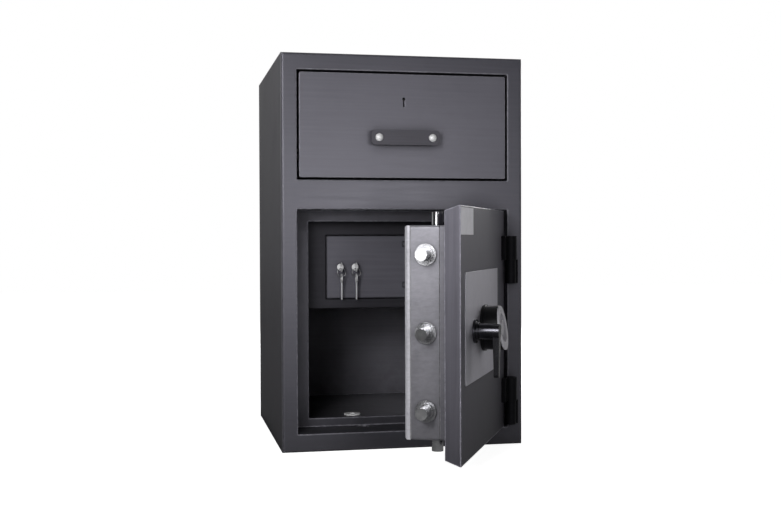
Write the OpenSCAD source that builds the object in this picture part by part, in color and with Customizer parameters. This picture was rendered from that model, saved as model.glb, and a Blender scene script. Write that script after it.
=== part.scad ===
// Deposit safe: a drop drawer above a vault whose thick door carries a combination lock
// X runs to the right, Y into the safe, Z up. The origin is at the middle of the cabinet's base.
// Pieces are drawn with Y counted from the front plane, and placed() then moves them to that origin.
// Pieces on the vault door are drawn shut, and swung() opens them about the hinge axis.

/* [Cabinet] */
// Overall width of the cabinet
cabinet_w = 508; // [490:1:620]
// Overall height of the cabinet
cabinet_h = 813; // [800:1:960]
// Overall depth of the cabinet
cabinet_d = 508; // [500:1:620]
// Thickness of the outer shell plate
shell_t = 6; // [4:0.5:8]
// Thickness of the front plate
front_t = 8; // [6:0.5:12]
// Radius along the edges of the front plate
edge_r = 4; // [2:0.5:5]

/* [Front frame] */
// Width of the plain stile at each side of the openings
stile_w = 31.6; // [28:0.1:40]
// Height of the rail below the vault door
bottom_rail = 37; // [35:0.5:45]
// Height of the opening for the vault door
door_open_h = 458.5; // [450:0.5:470]
// Height of the rail between door and drawer
mid_rail = 60; // [58:0.5:75]
// Height of the rail above the drawer
top_rail = 34; // [30:0.5:40]
// Thickness of the jamb plates behind the front plate
jamb_t = 8; // [6:0.5:8]
// Depth of the door rebate, from the front plane to the lip
rebate_d = 88; // [88:0.5:96]
// Depth of the drawer jamb behind the front plane
drawer_jamb_d = 40; // [34:1:60]
// Thickness of the lip behind the rebate
lip_t = 10; // [6:0.5:12]
// Width of the lip at each side
lip_side = 34; // [30:0.5:36]
// Width of the lip at the top
lip_top = 23.5; // [20:0.5:26]
// Width of the lip at the bottom
lip_bottom = 18; // [16:0.5:22]

/* [Vault] */
// Thickness of the sheet that lines the vault
liner_t = 3; // [2:0.5:4]
// Step from the lip's edge back to the liner's face
liner_step = 1.5; // [1:0.1:3]
// Thickness of the back wall, from the liner's face to the back
back_wall = 60; // [50:1:70]
// Distance between the two floor anchors
anchor_pitch = 176; // [120:1:240]
// Distance of the floor anchors behind the front plane
anchor_y = 134; // [120:1:150]
// Bore radius of a floor anchor sleeve
anchor_r = 6.5; // [5:0.1:9]
// Radius of the flange on an anchor sleeve
anchor_flange_r = 18; // [16:0.5:24]

/* [Drop chute] */
// Width of the drop opening
chute_w = 300; // [200:5:340]
// Space from the drop opening to the vault's back wall
chute_back_gap = 12; // [8:1:16]
// Length of the drop opening from front to back
chute_l = 124; // [100:1:124]
// Thickness of the chute sheet
chute_t = 2; // [1:0.1:3]

/* [Locker] */
// Distance of the locker's front behind the front plane
locker_y = 155; // [152:1:165]
// Space from the locker's back to the drop opening
locker_clear = 7; // [5:1:40]
// Height of the locker from its underside to the vault ceiling
locker_h = 190; // [180:1:220]
// Thickness of the locker's sheet
locker_t = 2; // [1.5:0.1:3]
// Left edge of the locker's door opening from the middle
locker_door_left = 141.4; // [130:0.1:160]
// Right edge of the locker's door opening from the middle
locker_door_right = 46; // [40:0.5:60]
// Height of the locker frame below its door
locker_sill = 20; // [14:0.5:24]
// Height of the locker frame above its door
locker_head = 30; // [20:0.5:34]
// Thickness of the locker door
locker_door_t = 7; // [5:0.5:9]
// Gap around the locker door
locker_gap = 1.2; // [0.8:0.1:2]
// Distance of a locker hinge from the end of the door opening
locker_hinge_inset = 15; // [10:0.5:30]
// Width of a locker hinge's leaf on the frame
locker_leaf_w = 14; // [8:0.5:20]
// Width of a locker hinge's leaf on the door
locker_door_leaf_w = 16; // [8:0.5:20]

/* [Locker locks] */
// Distance of the left key lock from the left edge of the locker door
lock_inset = 32; // [28:0.5:40]
// Distance between the two key locks
lock_pitch = 32.6; // [30:0.2:40]
// Radius of a key lock's flange
lock_flange_r = 7.5; // [7:0.1:9]
// Radius of a key lock's body
lock_body_r = 6.5; // [6:0.1:6.8]
// Radius of a key lock's turning plug
plug_r = 4.5; // [4.3:0.1:5]
// Thickness of a key
key_t = 2; // [1.5:0.1:2.4]
// Radius of a key's bow
bow_r = 10; // [9:0.5:11]
// Radius of a key ring along its wire's middle
ring_r = 9; // [8.5:0.5:10]
// Length of a spare key's blade
spare_blade = 35.5; // [30:0.5:40]

/* [Vault door] */
// Angle at which the door stands open
door_angle = 63; // [0:1:110]
// Gap around the vault door
door_gap = 2.9; // [2:0.1:4]
// Thickness of the door slab
slab_t = 30.5; // [28:0.5:34]
// Taper of the slab's edges from face to back
slab_taper = 8.5; // [5:0.5:12]
// Distance of the hinge axis beyond the edge of the opening
hinge_out = 2.4; // [1:0.1:4]
// Distance of the hinge axis in front of the front plane
hinge_front = 13.4; // [13.4:0.1:16]
// Radius of the door's hinge knuckle
knuckle_r = 13; // [11:0.1:13]
// Radius of the cabinet's hinge knuckle
lower_knuckle_r = 11; // [9:0.1:11]
// Radius of the hinge pin
hinge_pin_r = 5; // [4:0.1:6]
// Height of one hinge from end to end
hinge_h = 99; // [80:1:110]
// Height of the lower hinge above the cabinet's base
lower_hinge_z = 45; // [44:1:60]
// Distance from one hinge to the other
hinge_pitch = 296; // [260:1:300]
// Width of a hinge's leaf on the cabinet
leaf_w = 19; // [15:0.5:22]
// Thickness of a hinge's leaf on the cabinet
leaf_t = 5; // [4:0.5:7]
// Reach of a hinge's leaf over the door from the door's edge
door_leaf_w = 28; // [20:0.5:34]
// Thickness of a hinge's leaf on the door
door_leaf_t = 8; // [6:0.5:10]

/* [Bolt case] */
// Distance of the bolt case from the door's free edge
case_inset = 54; // [50:0.5:60]
// Distance of the bolt case from the door's top and bottom edges
case_inset_z = 34; // [30:0.5:40]
// Depth of the case's base frame behind the slab
base_frame_d = 18.5; // [14:0.5:20]
// Depth of the case from slab to cover seam
case_d = 72.5; // [70:0.5:74]
// Depth of the pressed cover
cover_d = 12; // [8:0.5:13]
// Radius of the cover's rolled edge
cover_r = 7; // [4:0.5:8]
// Thickness of the case sheet
case_t = 2.5; // [2:0.1:4]
// Width and depth of the seams round the case
seam = 1.3; // [0.8:0.1:1.8]

/* [Bolts] */
// Radius of a locking bolt
bolt_r = 11; // [9:0.1:12]
// Depth of the bolts' axes behind the door's outer face
bolt_depth = 75; // [74:0.5:75]
// Height between neighbouring side bolts
bolt_pitch = 140; // [120:1:150]
// How far a side bolt stands out of the case when drawn back
side_reach = 37; // [33:0.5:39]
// Distance of the upright bolts beyond the handle's axis
upright_step = 30; // [29:0.5:32]
// How far the top bolt stands out of the case when drawn back
top_reach = 25.5; // [22:0.5:29]
// How far the bottom bolt stands out of the case when drawn back
bottom_reach = 35; // [30:0.5:36]
// Travel of every bolt
bolt_throw = 30; // [26:0.5:30]
// Radius of a collar round a side bolt
collar_r = 19.8; // [17:0.1:22]
// Thickness of a collar
collar_t = 8; // [5:0.5:9]
// Thickness of a collar's wide foot
collar_foot_t = 3.5; // [2:0.5:5]
// Radius of a collar's narrow front
collar_front_r = 15; // [13:0.1:16]
// Running clearance round bolts, spindles and pins
run_fit = 0.06; // [0.02:0.01:0.1]
// Clearance round a thrown bolt in the frame
strike_fit = 1; // [0.5:0.1:1.5]

/* [Handle and dial] */
// Distance of the handle axis from the door's free edge
handle_s = 115; // [114:0.5:117]
// Distance of the dial axis from the door's free edge
dial_s = 205; // [205:0.5:212]
// Radius of the handle's spindle
spindle_r = 7; // [6:0.1:8]
// Length of the lever from its axis to its tip
lever_l = 84; // [76:1:100]
// Height of the lever above the door's face
lever_out = 42; // [38:0.5:46]
// Radius of the shroud round the dial
shroud_r = 41.5; // [40:0.5:44]
// Height of the shroud at the middle of its slanted front
shroud_out = 37.5; // [34:0.5:42]
// Slant of the shroud's front
shroud_slant = 8.5; // [0:0.5:10]
// Radius of the dial
dial_r = 33; // [30:0.5:34]
// Radius of the opening in the bezel over the dial
bezel_hole_r = 27; // [24:0.5:30]
// Distance of the dial behind the middle of the slanted front
dial_set = 9; // [8:0.5:12]
// Radius of the dial's grip
grip_r = 14; // [12:0.5:18]
// Radius of the dial's spindle
dial_spindle_r = 4; // [3:0.1:4.5]
// Width of the silver plate on the door
plate_w = 320; // [300:1:340]
// Height of the silver plate on the door
plate_h = 200; // [160:1:220]
// Distance of the silver plate from the door's free edge
plate_s = 35; // [20:0.5:40]
// Height of the silver plate's middle above the dial's axis
plate_rise = 9; // [0:0.5:20]
// Thickness of the silver plate
plate_t = 1.5; // [1:0.1:2]

// Width of the paper label
label_w = 110; // [80:1:140]
// Height of the paper label
label_h = 48; // [30:1:60]
// Thickness of the paper label
label_t = 0.3; // [0.1:0.05:0.5]
// Distance of the label from the door's free edge
label_s = 2; // [1:0.5:20]
// Distance of the label from the door's top edge
label_drop = 3; // [1:0.5:20]

/* [Combination lock] */
// Width of the lock case
lock_w = 61; // [61:0.5:64]
// Height of the lock case
lock_h = 85; // [84:0.5:90]
// Depth of the lock case
lock_d = 27.5; // [27.5:0.5:28]
// Wall of the lock case
lock_t = 3; // [2:0.1:3]
// Radius of a lock wheel
wheel_r = 24; // [20:0.5:25]
// Thickness of a lock wheel
wheel_t = 2.5; // [2:0.1:3]
// Distance from one wheel to the next
wheel_pitch = 4.5; // [4:0.1:4.5]
// Travel of the lock's own bolt
lock_throw = 8; // [6:0.5:8]

/* [Drawer] */
// Gap around the drawer front
drawer_gap = 5; // [3:0.5:6]
// Thickness of the drawer front
drawer_front_t = 20; // [14:0.5:24]
// Thickness of the tray sheet
tray_t = 2; // [1.5:0.1:3]
// Space above the tray's sides
tray_top_gap = 38.5; // [30:0.5:70]
// Space behind the tray
tray_back_gap = 30; // [20:1:40]
// Fall of the tray's floor, as a share of the height from the tray's base to the lock
floor_fall = 0.69; // [0.4:0.01:0.8]
// Space at each side of the tray for a runner
runner_w = 15.4; // [14:0.1:18]
// Height of a runner
runner_h = 22; // [18:0.5:26]
// Distance of a runner's front end behind the front plane
runner_y = 60; // [50:1:90]
// Space behind a runner
runner_back_gap = 20; // [10:1:40]
// Length of the drawer bar from end to end
bar_l = 142; // [120:1:160]
// Height of the drawer bar
bar_h = 30.5; // [24:0.5:34]
// Thickness of the drawer bar
bar_t = 7; // [5:0.5:9]
// Clear space behind the drawer bar
bar_gap = 14; // [12:0.5:18]
// Height of the drawer bar above the point midway from the drawer's lower edge to the keyhole
bar_rise = 3.5; // [0:0.5:10]
// Radius of a post of the drawer bar
bar_post_r = 6.5; // [5:0.1:8]
// Radius of the screw through a post
bar_screw_r = 3; // [2:0.1:4]
// Radius of a post's screw head
screw_r = 8; // [7:0.1:9]
// Distance of the keyhole's middle below the drawer's upper edge
keyhole_drop = 57.5; // [54:0.5:64]
// Travel of the drawer's lock bolt
drawer_throw = 16; // [10:0.5:16]

/* [Hidden] */
$fn = 96;

// Clearance that keeps a cut clear of the face it passes through
past = 1;
// Small gap between faces of pieces that move past each other
slip = 0.3;

// Openings in the front
half_w = cabinet_w / 2;
open_x = half_w - stile_w;
door_z0 = bottom_rail;
door_z1 = door_z0 + door_open_h;
drawer_z0 = door_z1 + mid_rail;
drawer_z1 = cabinet_h - top_rail;

// Lip and vault
lip_x = open_x - lip_side;
lip_z0 = door_z0 + lip_bottom;
lip_z1 = door_z1 - lip_top;
lip_back = rebate_d + lip_t;
vault_x = lip_x + liner_step;
vault_z0 = lip_z0 - liner_step;
vault_z1 = lip_z1 + liner_step;
vault_back = cabinet_d - back_wall;
chute_y = vault_back - chute_back_gap - chute_l;

// Drawer chamber
chamber_t = liner_t;
chamber_back = vault_back + 12;

// Vault door, as it stands when shut
hinge_x = open_x + hinge_out;
hinge_y = -hinge_front;
slab_x = open_x - door_gap;
slab_z0 = door_z0 + door_gap;
slab_z1 = door_z1 - door_gap;
slab_mid_z = (slab_z0 + slab_z1) / 2;

// Bolt case
case_x0 = -slab_x + case_inset;
case_x1 = slab_x - case_inset;
case_z0 = slab_z0 + case_inset_z;
case_z1 = slab_z1 - case_inset_z;
case_back = slab_t + case_d;
cover_back = case_back + cover_d;
corner_r = 5;

// Handle, dial and crank
hub_r = 14;
handle_x = -slab_x + handle_s;
dial_x = -slab_x + dial_s;
axis_z = slab_mid_z;
crank_start = 45;
crank_arm = bolt_throw / (2 * sin(crank_start));
crank_pin_r = 4;
crank_slack = 0.9;
disc_r = crank_arm + 9;
disc_y = 52;
disc_t = 6;
link_t = 4;
bar_y = disc_y + disc_t + 1;
link_y = bar_y + link_t + 2;

// Side bolts and their carriage
side_bolt_l = case_inset - 17 + 36;
side_tip_x = case_x0 - side_reach;
carriage_x = side_tip_x + side_bolt_l;
carriage_t = 6;
tail_r = 5;
nut_r = 9;
nut_t = 8;
arm_z1 = axis_z - lock_h / 2 - 1.5;
arm_z0 = arm_z1 - 22;
slot_half = 14;

// Upright bolts
upright_l = 86;
top_tip_z = case_z1 + top_reach;
bottom_tip_z = case_z0 - bottom_reach;
upright_x = handle_x + upright_step;
strap_w = 20;
foot_out = crank_arm + 12.8;
foot_in = 3;
leg_in = foot_in + 9;
foot_h = 27;
jog_z = foot_h + 5;
jog_h = 12;

// Combination lock
lock_z0 = axis_z - lock_h / 2;
wheel_y0 = slab_t + lock_t + 2.5;
post_r = 7;
lock_bolt_w = 18;
lock_bolt_t = 8;
lock_bolt_y = slab_t + 7.5;
lock_bolt_h = 17;

// Drawer
drawer_x = open_x - drawer_gap;
front_z0 = drawer_z0 + drawer_gap;
front_z1 = drawer_z1 - drawer_gap;
tray_x = open_x - runner_w;
tray_z0 = drawer_z0 + 10;
tray_z1 = drawer_z1 - tray_top_gap;
tray_back = chamber_back - tray_back_gap;
runner_z = tray_z0 + 35;
flange_z = runner_z + 12;
flange_w = 9;
post_x = bar_l / 2 - 15;
key_z = front_z1 - keyhole_drop;
bar_axis_z = (front_z0 + key_z) / 2 + bar_rise;
drawer_lock_w = 70;
drawer_lock_h = 82;
drawer_lock_t = 24;
drawer_lock_z = key_z - 42;
deadbolt_w = 24;
deadbolt_t = 10;
deadbolt_y = drawer_front_t + 7;

// Locker
locker_back = chute_y - locker_clear;
locker_z0 = vault_z1 - locker_h;
locker_open_z0 = locker_z0 + locker_sill;
locker_open_z1 = vault_z1 - locker_head;
locker_axis_x = locker_door_right + 2.5;
locker_axis_y = locker_y - 4.5;
locker_knuckle_r = 4;
locker_pin_r = 1.5;
locker_knuckle_h = 20;
lock_left_x = -locker_door_left + lock_inset;
lock_right_x = lock_left_x + lock_pitch;
lock_axis_z = (locker_open_z0 + locker_open_z1) / 2;
lock_flange_t = 3;
plug_front = locker_y - lock_flange_t - 1.3;
plug_back = locker_y + 9;
cam_t = 2;
bow_y = plug_front - bow_r - 2.5;
bow_hole_r = 4.5;
wire_r = 0.9;
ring_slack = 0.75;
ring_z = lock_axis_z - bow_hole_r - ring_r + wire_r + ring_slack;

// A block between two corners
module block(lo, hi) {
    translate(lo) cube(hi - lo);
}

// Upright, crosswise and inward rods, each from one end to the other
module rod_z(x, y, z0, z1, r) {
    translate([x, y, z0]) cylinder(r = r, h = z1 - z0);
}

module rod_x(x0, x1, y, z, r) {
    translate([x0, y, z]) rotate([0, 90, 0]) cylinder(r = r, h = x1 - x0);
}

module rod_y(x, y0, y1, z, r) {
    translate([x, y0, z]) rotate([-90, 0, 0]) cylinder(r = r, h = y1 - y0);
}

// A flat plate in the X and Z directions with round corners
module round_plate(x0, x1, y0, y1, z0, z1, r) {
    translate([0, y1, 0]) rotate([90, 0, 0]) linear_extrude(y1 - y0) {
        translate([x0 + r, z0]) square([x1 - x0 - 2 * r, z1 - z0]);
        translate([x0, z0 + r]) square([x1 - x0, z1 - z0 - 2 * r]);
        for (x = [x0 + r, x1 - r], z = [z0 + r, z1 - r]) translate([x, z]) circle(r);
    }
}

// A plate in the X and Z directions, given by its outline
module outline_plate(y0, y1, points) {
    translate([0, y1, 0]) rotate([90, 0, 0]) linear_extrude(y1 - y0) polygon(points);
}

// Moves a piece drawn from the front plane to the origin at the middle of the base
module placed() {
    translate([0, -cabinet_d / 2, 0]) children();
}

// Turns a piece of the vault door from shut to where the door stands, and places it
module swung() {
    placed() translate([hinge_x, hinge_y, 0]) rotate([0, 0, door_angle]) {
        translate([-hinge_x, -hinge_y, 0]) children();
    }
}

// Outline of a slab whose two corners at the low side are round
module soft_outline(a0, a1, b0, b1, r) {
    translate([a0, b0 + r]) square([a1 - a0, b1 - b0 - r]);
    translate([a0 + r, b0]) square([a1 - a0 - 2 * r, b1 - b0]);
    for (a = [a0 + r, a1 - r]) translate([a, b0 + r]) circle(r);
}

// A slab between heights z0 and z1 whose edges are round all along the face at y0
module soft_slab(x0, x1, y0, y1, z0, z1, r) {
    intersection() {
        translate([0, 0, z0]) linear_extrude(z1 - z0) soft_outline(x0, x1, y0, y1, r);
        translate([x1, 0, 0]) rotate([0, -90, 0]) linear_extrude(x1 - x0) soft_outline(z0, z1, y0, y1, r);
    }
}

module outer_shell() {
    color("#4a4a50") placed() difference() {
        block([-half_w, front_t, 0], [half_w, cabinet_d, cabinet_h]);
        block([-half_w + shell_t, front_t - past, shell_t],
            [half_w - shell_t, cabinet_d - shell_t, cabinet_h - shell_t]);
        for (x = [-1, 1]) rod_z(x * anchor_pitch / 2, anchor_y, -past, shell_t + past, anchor_r + 3);
    }
}

module front_frame() {
    color("#4e4e55") placed() difference() {
        union() {
            soft_slab(-half_w, half_w, 0, front_t, 0, cabinet_h, edge_r);
            block([-open_x - jamb_t, front_t - past, door_z0 - jamb_t],
                [open_x + jamb_t, lip_back, door_z1 + jamb_t]);
            block([-open_x - jamb_t, front_t - past, drawer_z0 - jamb_t],
                [open_x + jamb_t, drawer_jamb_d, drawer_z1 + jamb_t]);
        }
        block([-open_x, -past, door_z0], [open_x, rebate_d, door_z1]);
        block([-lip_x, rebate_d - past, lip_z0], [lip_x, lip_back + past, lip_z1]);
        block([-open_x, -past, drawer_z0], [open_x, drawer_jamb_d + past, drawer_z1]);
        strike_cuts();
        block([-deadbolt_w / 2 - strike_fit, deadbolt_y - strike_fit, drawer_z1 - past],
            [deadbolt_w / 2 + strike_fit, deadbolt_y + deadbolt_t + strike_fit, drawer_z1 + jamb_t + past]);
    }
}

// Holes in jambs and fill that the thrown bolts enter
module strike_cuts() {
    reach = strike_fit + bolt_r;
    for (i = [-1, 0, 1]) {
        rod_x(side_tip_x - bolt_throw - 2, -open_x + past, bolt_depth, axis_z + i * bolt_pitch, reach);
    }
    rod_z(upright_x, bolt_depth, door_z1 - past, top_tip_z + bolt_throw + 2, reach);
    rod_z(upright_x, bolt_depth, bottom_tip_z - bolt_throw - 1.5, door_z0 + past, reach);
}

module barrier_fill() {
    inner_x = half_w - shell_t;
    color("#8f8c84") placed() difference() {
        block([-inner_x, front_t, shell_t], [inner_x, cabinet_d - shell_t, cabinet_h - shell_t]);
        block([-open_x - jamb_t, front_t - past, door_z0 - jamb_t],
            [open_x + jamb_t, lip_back, door_z1 + jamb_t]);
        block([-vault_x - liner_t, lip_back - past, vault_z0 - liner_t],
            [vault_x + liner_t, vault_back + liner_t, vault_z1 + liner_t]);
        block([-open_x - jamb_t, front_t - past, drawer_z0 - jamb_t],
            [open_x + jamb_t, drawer_jamb_d, drawer_z1 + jamb_t]);
        block([-open_x - chamber_t, drawer_jamb_d - past, drawer_z0 - chamber_t],
            [open_x + chamber_t, chamber_back + chamber_t, drawer_z1 + chamber_t]);
        block([-chute_w / 2 - chute_t, chute_y - chute_t, vault_z1],
            [chute_w / 2 + chute_t, chute_y + chute_l + chute_t, drawer_z0]);
        strike_cuts();
        for (x = [-1, 1]) rod_z(x * anchor_pitch / 2, anchor_y, shell_t - past, vault_z0, anchor_r + 3);
        block([-deadbolt_w / 2 - strike_fit, deadbolt_y - strike_fit, drawer_z1],
            [deadbolt_w / 2 + strike_fit, deadbolt_y + deadbolt_t + strike_fit, drawer_z1 + jamb_t + 5]);
    }
}

module vault_liner() {
    color("#3c3c41") placed() difference() {
        block([-vault_x - liner_t, lip_back, vault_z0 - liner_t],
            [vault_x + liner_t, vault_back + liner_t, vault_z1 + liner_t]);
        block([-vault_x, lip_back - past, vault_z0], [vault_x, vault_back, vault_z1]);
        block([-chute_w / 2, chute_y, vault_z1 - past],
            [chute_w / 2, chute_y + chute_l, vault_z1 + liner_t + past]);
        for (x = [-1, 1]) {
            rod_z(x * anchor_pitch / 2, anchor_y, vault_z0 - liner_t - past, vault_z0 + past, anchor_r + 3);
        }
    }
}

module drawer_chamber() {
    color("#3c3c41") placed() difference() {
        block([-open_x - chamber_t, drawer_jamb_d, drawer_z0 - chamber_t],
            [open_x + chamber_t, chamber_back + chamber_t, drawer_z1 + chamber_t]);
        block([-open_x, drawer_jamb_d - past, drawer_z0], [open_x, chamber_back, drawer_z1]);
        block([-chute_w / 2, chute_y, drawer_z0 - chamber_t - past],
            [chute_w / 2, chute_y + chute_l, drawer_z0 + past]);
    }
}

// Duct from the drawer chamber to the vault, with a toothed plate against fishing
module drop_chute() {
    z0 = vault_z1 + liner_t;
    z1 = drawer_z0 - chamber_t;
    tooth = 12;
    count = floor(chute_w / (2 * tooth));
    color("#55555c") placed() union() {
        difference() {
            block([-chute_w / 2 - chute_t, chute_y - chute_t, z0],
                [chute_w / 2 + chute_t, chute_y + chute_l + chute_t, z1]);
            block([-chute_w / 2, chute_y, z0 - past], [chute_w / 2, chute_y + chute_l, z1 + past]);
        }
        translate([0, 0, z0 + 20]) linear_extrude(chute_t) polygon(concat(
            [[chute_w / 2, chute_y], [-chute_w / 2, chute_y]],
            [for (i = [0:count]) each [
                [-chute_w / 2 + i * chute_w / count, chute_y + 8],
                if (i < count) [-chute_w / 2 + (i + 0.5) * chute_w / count, chute_y + 8 + tooth]]]));
    }
}

module drawer_runners() {
    color("silver") placed() for (side = [-1, 1]) scale([side, 1, 1]) difference() {
        block([tray_x + 2 * slip, runner_y, runner_z],
            [open_x, chamber_back - runner_back_gap, runner_z + runner_h]);
        block([tray_x - past, runner_y - past, flange_z - slip],
            [tray_x + flange_w + 3, chamber_back, flange_z + tray_t + slip]);
    }
}

module anchor_sleeves() {
    color("gainsboro") placed() for (side = [-1, 1]) difference() {
        x = side * anchor_pitch / 2;
        union() {
            rod_z(x, anchor_y, 0, vault_z0 + past, anchor_r + 3);
            rod_z(x, anchor_y, vault_z0, vault_z0 + 2, anchor_flange_r);
        }
        rod_z(x, anchor_y, -past, vault_z0 + 2 + past, anchor_r);
    }
}

// Heights at which each main hinge begins
hinge_zs = [lower_hinge_z, lower_hinge_z + hinge_pitch];

module cabinet_knuckles() {
    color("#2c2c30") placed() for (z = hinge_zs) difference() {
        union() {
            rod_z(hinge_x, hinge_y, z, z + hinge_h / 2 - slip, lower_knuckle_r);
            block([hinge_x, -leaf_t, z], [hinge_x + leaf_w, 0, z + hinge_h / 2 - slip]);
            block([hinge_x, hinge_y, z], [hinge_x + leaf_t + 1, 0, z + hinge_h / 2 - slip]);
        }
        rod_z(hinge_x, hinge_y, z - past, z + hinge_h, hinge_pin_r + 0.02);
    }
}

module hinge_pins() {
    color("#3a3a3e") placed() for (z = hinge_zs) rod_z(hinge_x, hinge_y, z + 1, z + hinge_h - 4, hinge_pin_r);
}

module door_knuckles() {
    color("#35353a") swung() for (z = hinge_zs) difference() {
        union() {
            rod_z(hinge_x, hinge_y, z + hinge_h / 2, z + hinge_h, knuckle_r);
            block([slab_x - door_leaf_w, -door_leaf_t, z + hinge_h / 2], [hinge_x - 3.5, 0, z + hinge_h]);
        }
        rod_z(hinge_x, hinge_y, z, z + hinge_h - 3, hinge_pin_r + run_fit);
    }
}

module locker_case() {
    x = vault_x - slip;
    color("#47474d") placed() difference() {
        block([-x, locker_y, locker_z0], [x, locker_back, vault_z1 - slip]);
        block([-x + locker_t, locker_y + locker_t, locker_z0 + locker_t],
            [x - locker_t, locker_back - locker_t, vault_z1 + past]);
        block([-locker_door_left, locker_y - past, locker_open_z0],
            [locker_door_right + locker_gap, locker_y + locker_t + past, locker_open_z1]);
    }
}

// Heights at which each locker hinge begins
locker_hinge_zs = [
    locker_open_z0 + locker_hinge_inset,
    locker_open_z1 - locker_hinge_inset - locker_knuckle_h,
];

module locker_knuckles() {
    color("dimgray") placed() for (z = locker_hinge_zs) {
        rod_z(locker_axis_x, locker_axis_y, z, z + locker_knuckle_h / 2 - slip, locker_knuckle_r);
        block([locker_axis_x, locker_y - locker_t, z],
            [locker_axis_x + locker_leaf_w, locker_y, z + locker_knuckle_h / 2 - slip]);
        rod_z(locker_axis_x, locker_axis_y, z, z + locker_knuckle_h - 1, locker_pin_r);
    }
}

module locker_door() {
    x0 = -locker_door_left + locker_gap;
    x1 = locker_door_right;
    front = locker_y - 0.2;
    color("#5a5a61") placed() difference() {
        union() {
            block([x0, front, locker_open_z0 + locker_gap],
                [x1, front + locker_door_t, locker_open_z1 - locker_gap]);
            for (z = locker_hinge_zs) {
                middle = z + locker_knuckle_h / 2;
                rod_z(locker_axis_x, locker_axis_y, middle, z + locker_knuckle_h, locker_knuckle_r);
                block([x1 - locker_door_leaf_w, front - locker_t, middle],
                    [locker_axis_x, front, z + locker_knuckle_h]);
            }
        }
        for (z = locker_hinge_zs) {
            rod_z(locker_axis_x, locker_axis_y, z, z + locker_knuckle_h - 0.5, locker_pin_r + run_fit);
        }
        for (x = [lock_left_x, lock_right_x]) {
            rod_y(x, front - past, locker_y + 10, lock_axis_z, lock_body_r + run_fit);
        }
    }
}

module locker_lock_bodies() {
    front = locker_y - 0.2;
    color("gainsboro") placed() for (x = [lock_left_x, lock_right_x]) difference() {
        union() {
            rod_y(x, front - lock_flange_t, front, lock_axis_z, lock_flange_r);
            rod_y(x, front, plug_back - 0.2, lock_axis_z, lock_body_r);
        }
        rod_y(x, front - lock_flange_t - past, plug_back, lock_axis_z, plug_r + run_fit);
    }
}

// A turning plug with its cam, which points up at 90 degrees and to the side at 0
module locker_plug(x, angle, reach) {
    difference() {
        union() {
            rod_y(x, plug_front, plug_back + cam_t, lock_axis_z, plug_r);
            translate([x, plug_back + cam_t, lock_axis_z]) rotate([90, 0, 0]) linear_extrude(cam_t) {
                circle(r = 8);
                rotate(angle) translate([0, -6]) square([reach, 12]);
            }
        }
        block([x - key_t / 2 - 0.1, plug_front - past, lock_axis_z - 4],
            [x + key_t / 2 + 0.1, plug_back - 2, lock_axis_z + 3]);
    }
}

module locker_plug_left() {
    color("silver") placed() locker_plug(lock_left_x, -90, lock_inset + 8);
}

module locker_plug_right() {
    color("silver") placed() locker_plug(lock_right_x, 0, locker_open_z1 - lock_axis_z + 6);
}

// A key with its blade pointing inward, its bow's middle at the origin
module key(blade) {
    translate([-key_t / 2, 0, 0]) rotate([90, 0, 90]) linear_extrude(key_t) difference() {
        union() {
            circle(r = bow_r);
            translate([0, -3.8]) square([bow_r + blade, 6.6]);
        }
        circle(r = bow_hole_r);
        for (i = [0:2]) translate([bow_r + blade - 4 - i * 4.5, -4.4]) circle(r = 1.6, $fn = 24);
    }
}

module locker_key_left() {
    color("#c9c9c9") placed() translate([lock_left_x, bow_y, lock_axis_z]) key(blade = 12);
}

module locker_key_right() {
    color("#c9c9c9") placed() translate([lock_right_x, bow_y, lock_axis_z]) key(blade = 12);
}

// A ring that hangs from a key's bow
module key_ring(x) {
    translate([x, bow_y, ring_z]) rotate([90, 0, 0]) {
        rotate_extrude() translate([ring_r, 0]) circle(r = wire_r, $fn = 24);
    }
}

module key_ring_left() {
    color("silver") placed() key_ring(lock_left_x);
}

module key_ring_right() {
    color("silver") placed() key_ring(lock_right_x);
}

// A spare key that hangs from the ring, its blade pointing down
module spare_key(x) {
    hang = ring_r + bow_hole_r - wire_r - 0.1;
    translate([x, bow_y, ring_z - hang]) rotate([-90, 0, 0]) key(blade = spare_blade);
}

module spare_key_left() {
    color("#bdbdbd") placed() spare_key(lock_left_x);
}

module spare_key_right() {
    color("#bdbdbd") placed() spare_key(lock_right_x);
}

// Slab whose edges taper inward from the outer face
module door_slab() {
    color("#4c4c53") swung() difference() {
        hull() {
            block([-slab_x, 0, slab_z0], [slab_x, 2, slab_z1]);
            block([-slab_x + slab_taper, 2, slab_z0 + slab_taper],
                [slab_x - slab_taper, slab_t, slab_z1 - slab_taper]);
        }
        rod_y(handle_x, -past, slab_t + past, axis_z, spindle_r + run_fit);
        rod_y(dial_x, -past, slab_t + past, axis_z, dial_spindle_r + 1.5);
    }
}

module face_plate() {
    x0 = -slab_x + plate_s;
    z0 = axis_z + plate_rise - plate_h / 2;
    color("#c8c8cc") swung() difference() {
        round_plate(x0, x0 + plate_w, -plate_t, 0, z0, z0 + plate_h, 3);
        rod_y(handle_x, -plate_t - past, past, axis_z, spindle_r + 1);
        rod_y(dial_x, -plate_t - past, past, axis_z, dial_spindle_r + 1.5);
    }
}

module paper_label() {
    color("#9a9aa0") swung() block([-slab_x + label_s, -label_t, slab_z1 - label_drop - label_h],
        [-slab_x + label_s + label_w, 0, slab_z1 - label_drop]);
}

// Rectangular tube of the bolt case between two depths
module case_tube(y0, y1, inset, wall) {
    difference() {
        round_plate(case_x0 + inset, case_x1 - inset, y0, y1, case_z0 + inset, case_z1 - inset, corner_r);
        block([case_x0 + inset + wall, y0 - past, case_z0 + inset + wall],
            [case_x1 - inset - wall, y1 + past, case_z1 - inset - wall]);
    }
}

module bolt_base_frame() {
    color("#8d8d95") swung() case_tube(slab_t, slab_t + base_frame_d, 0, 6);
}

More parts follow.
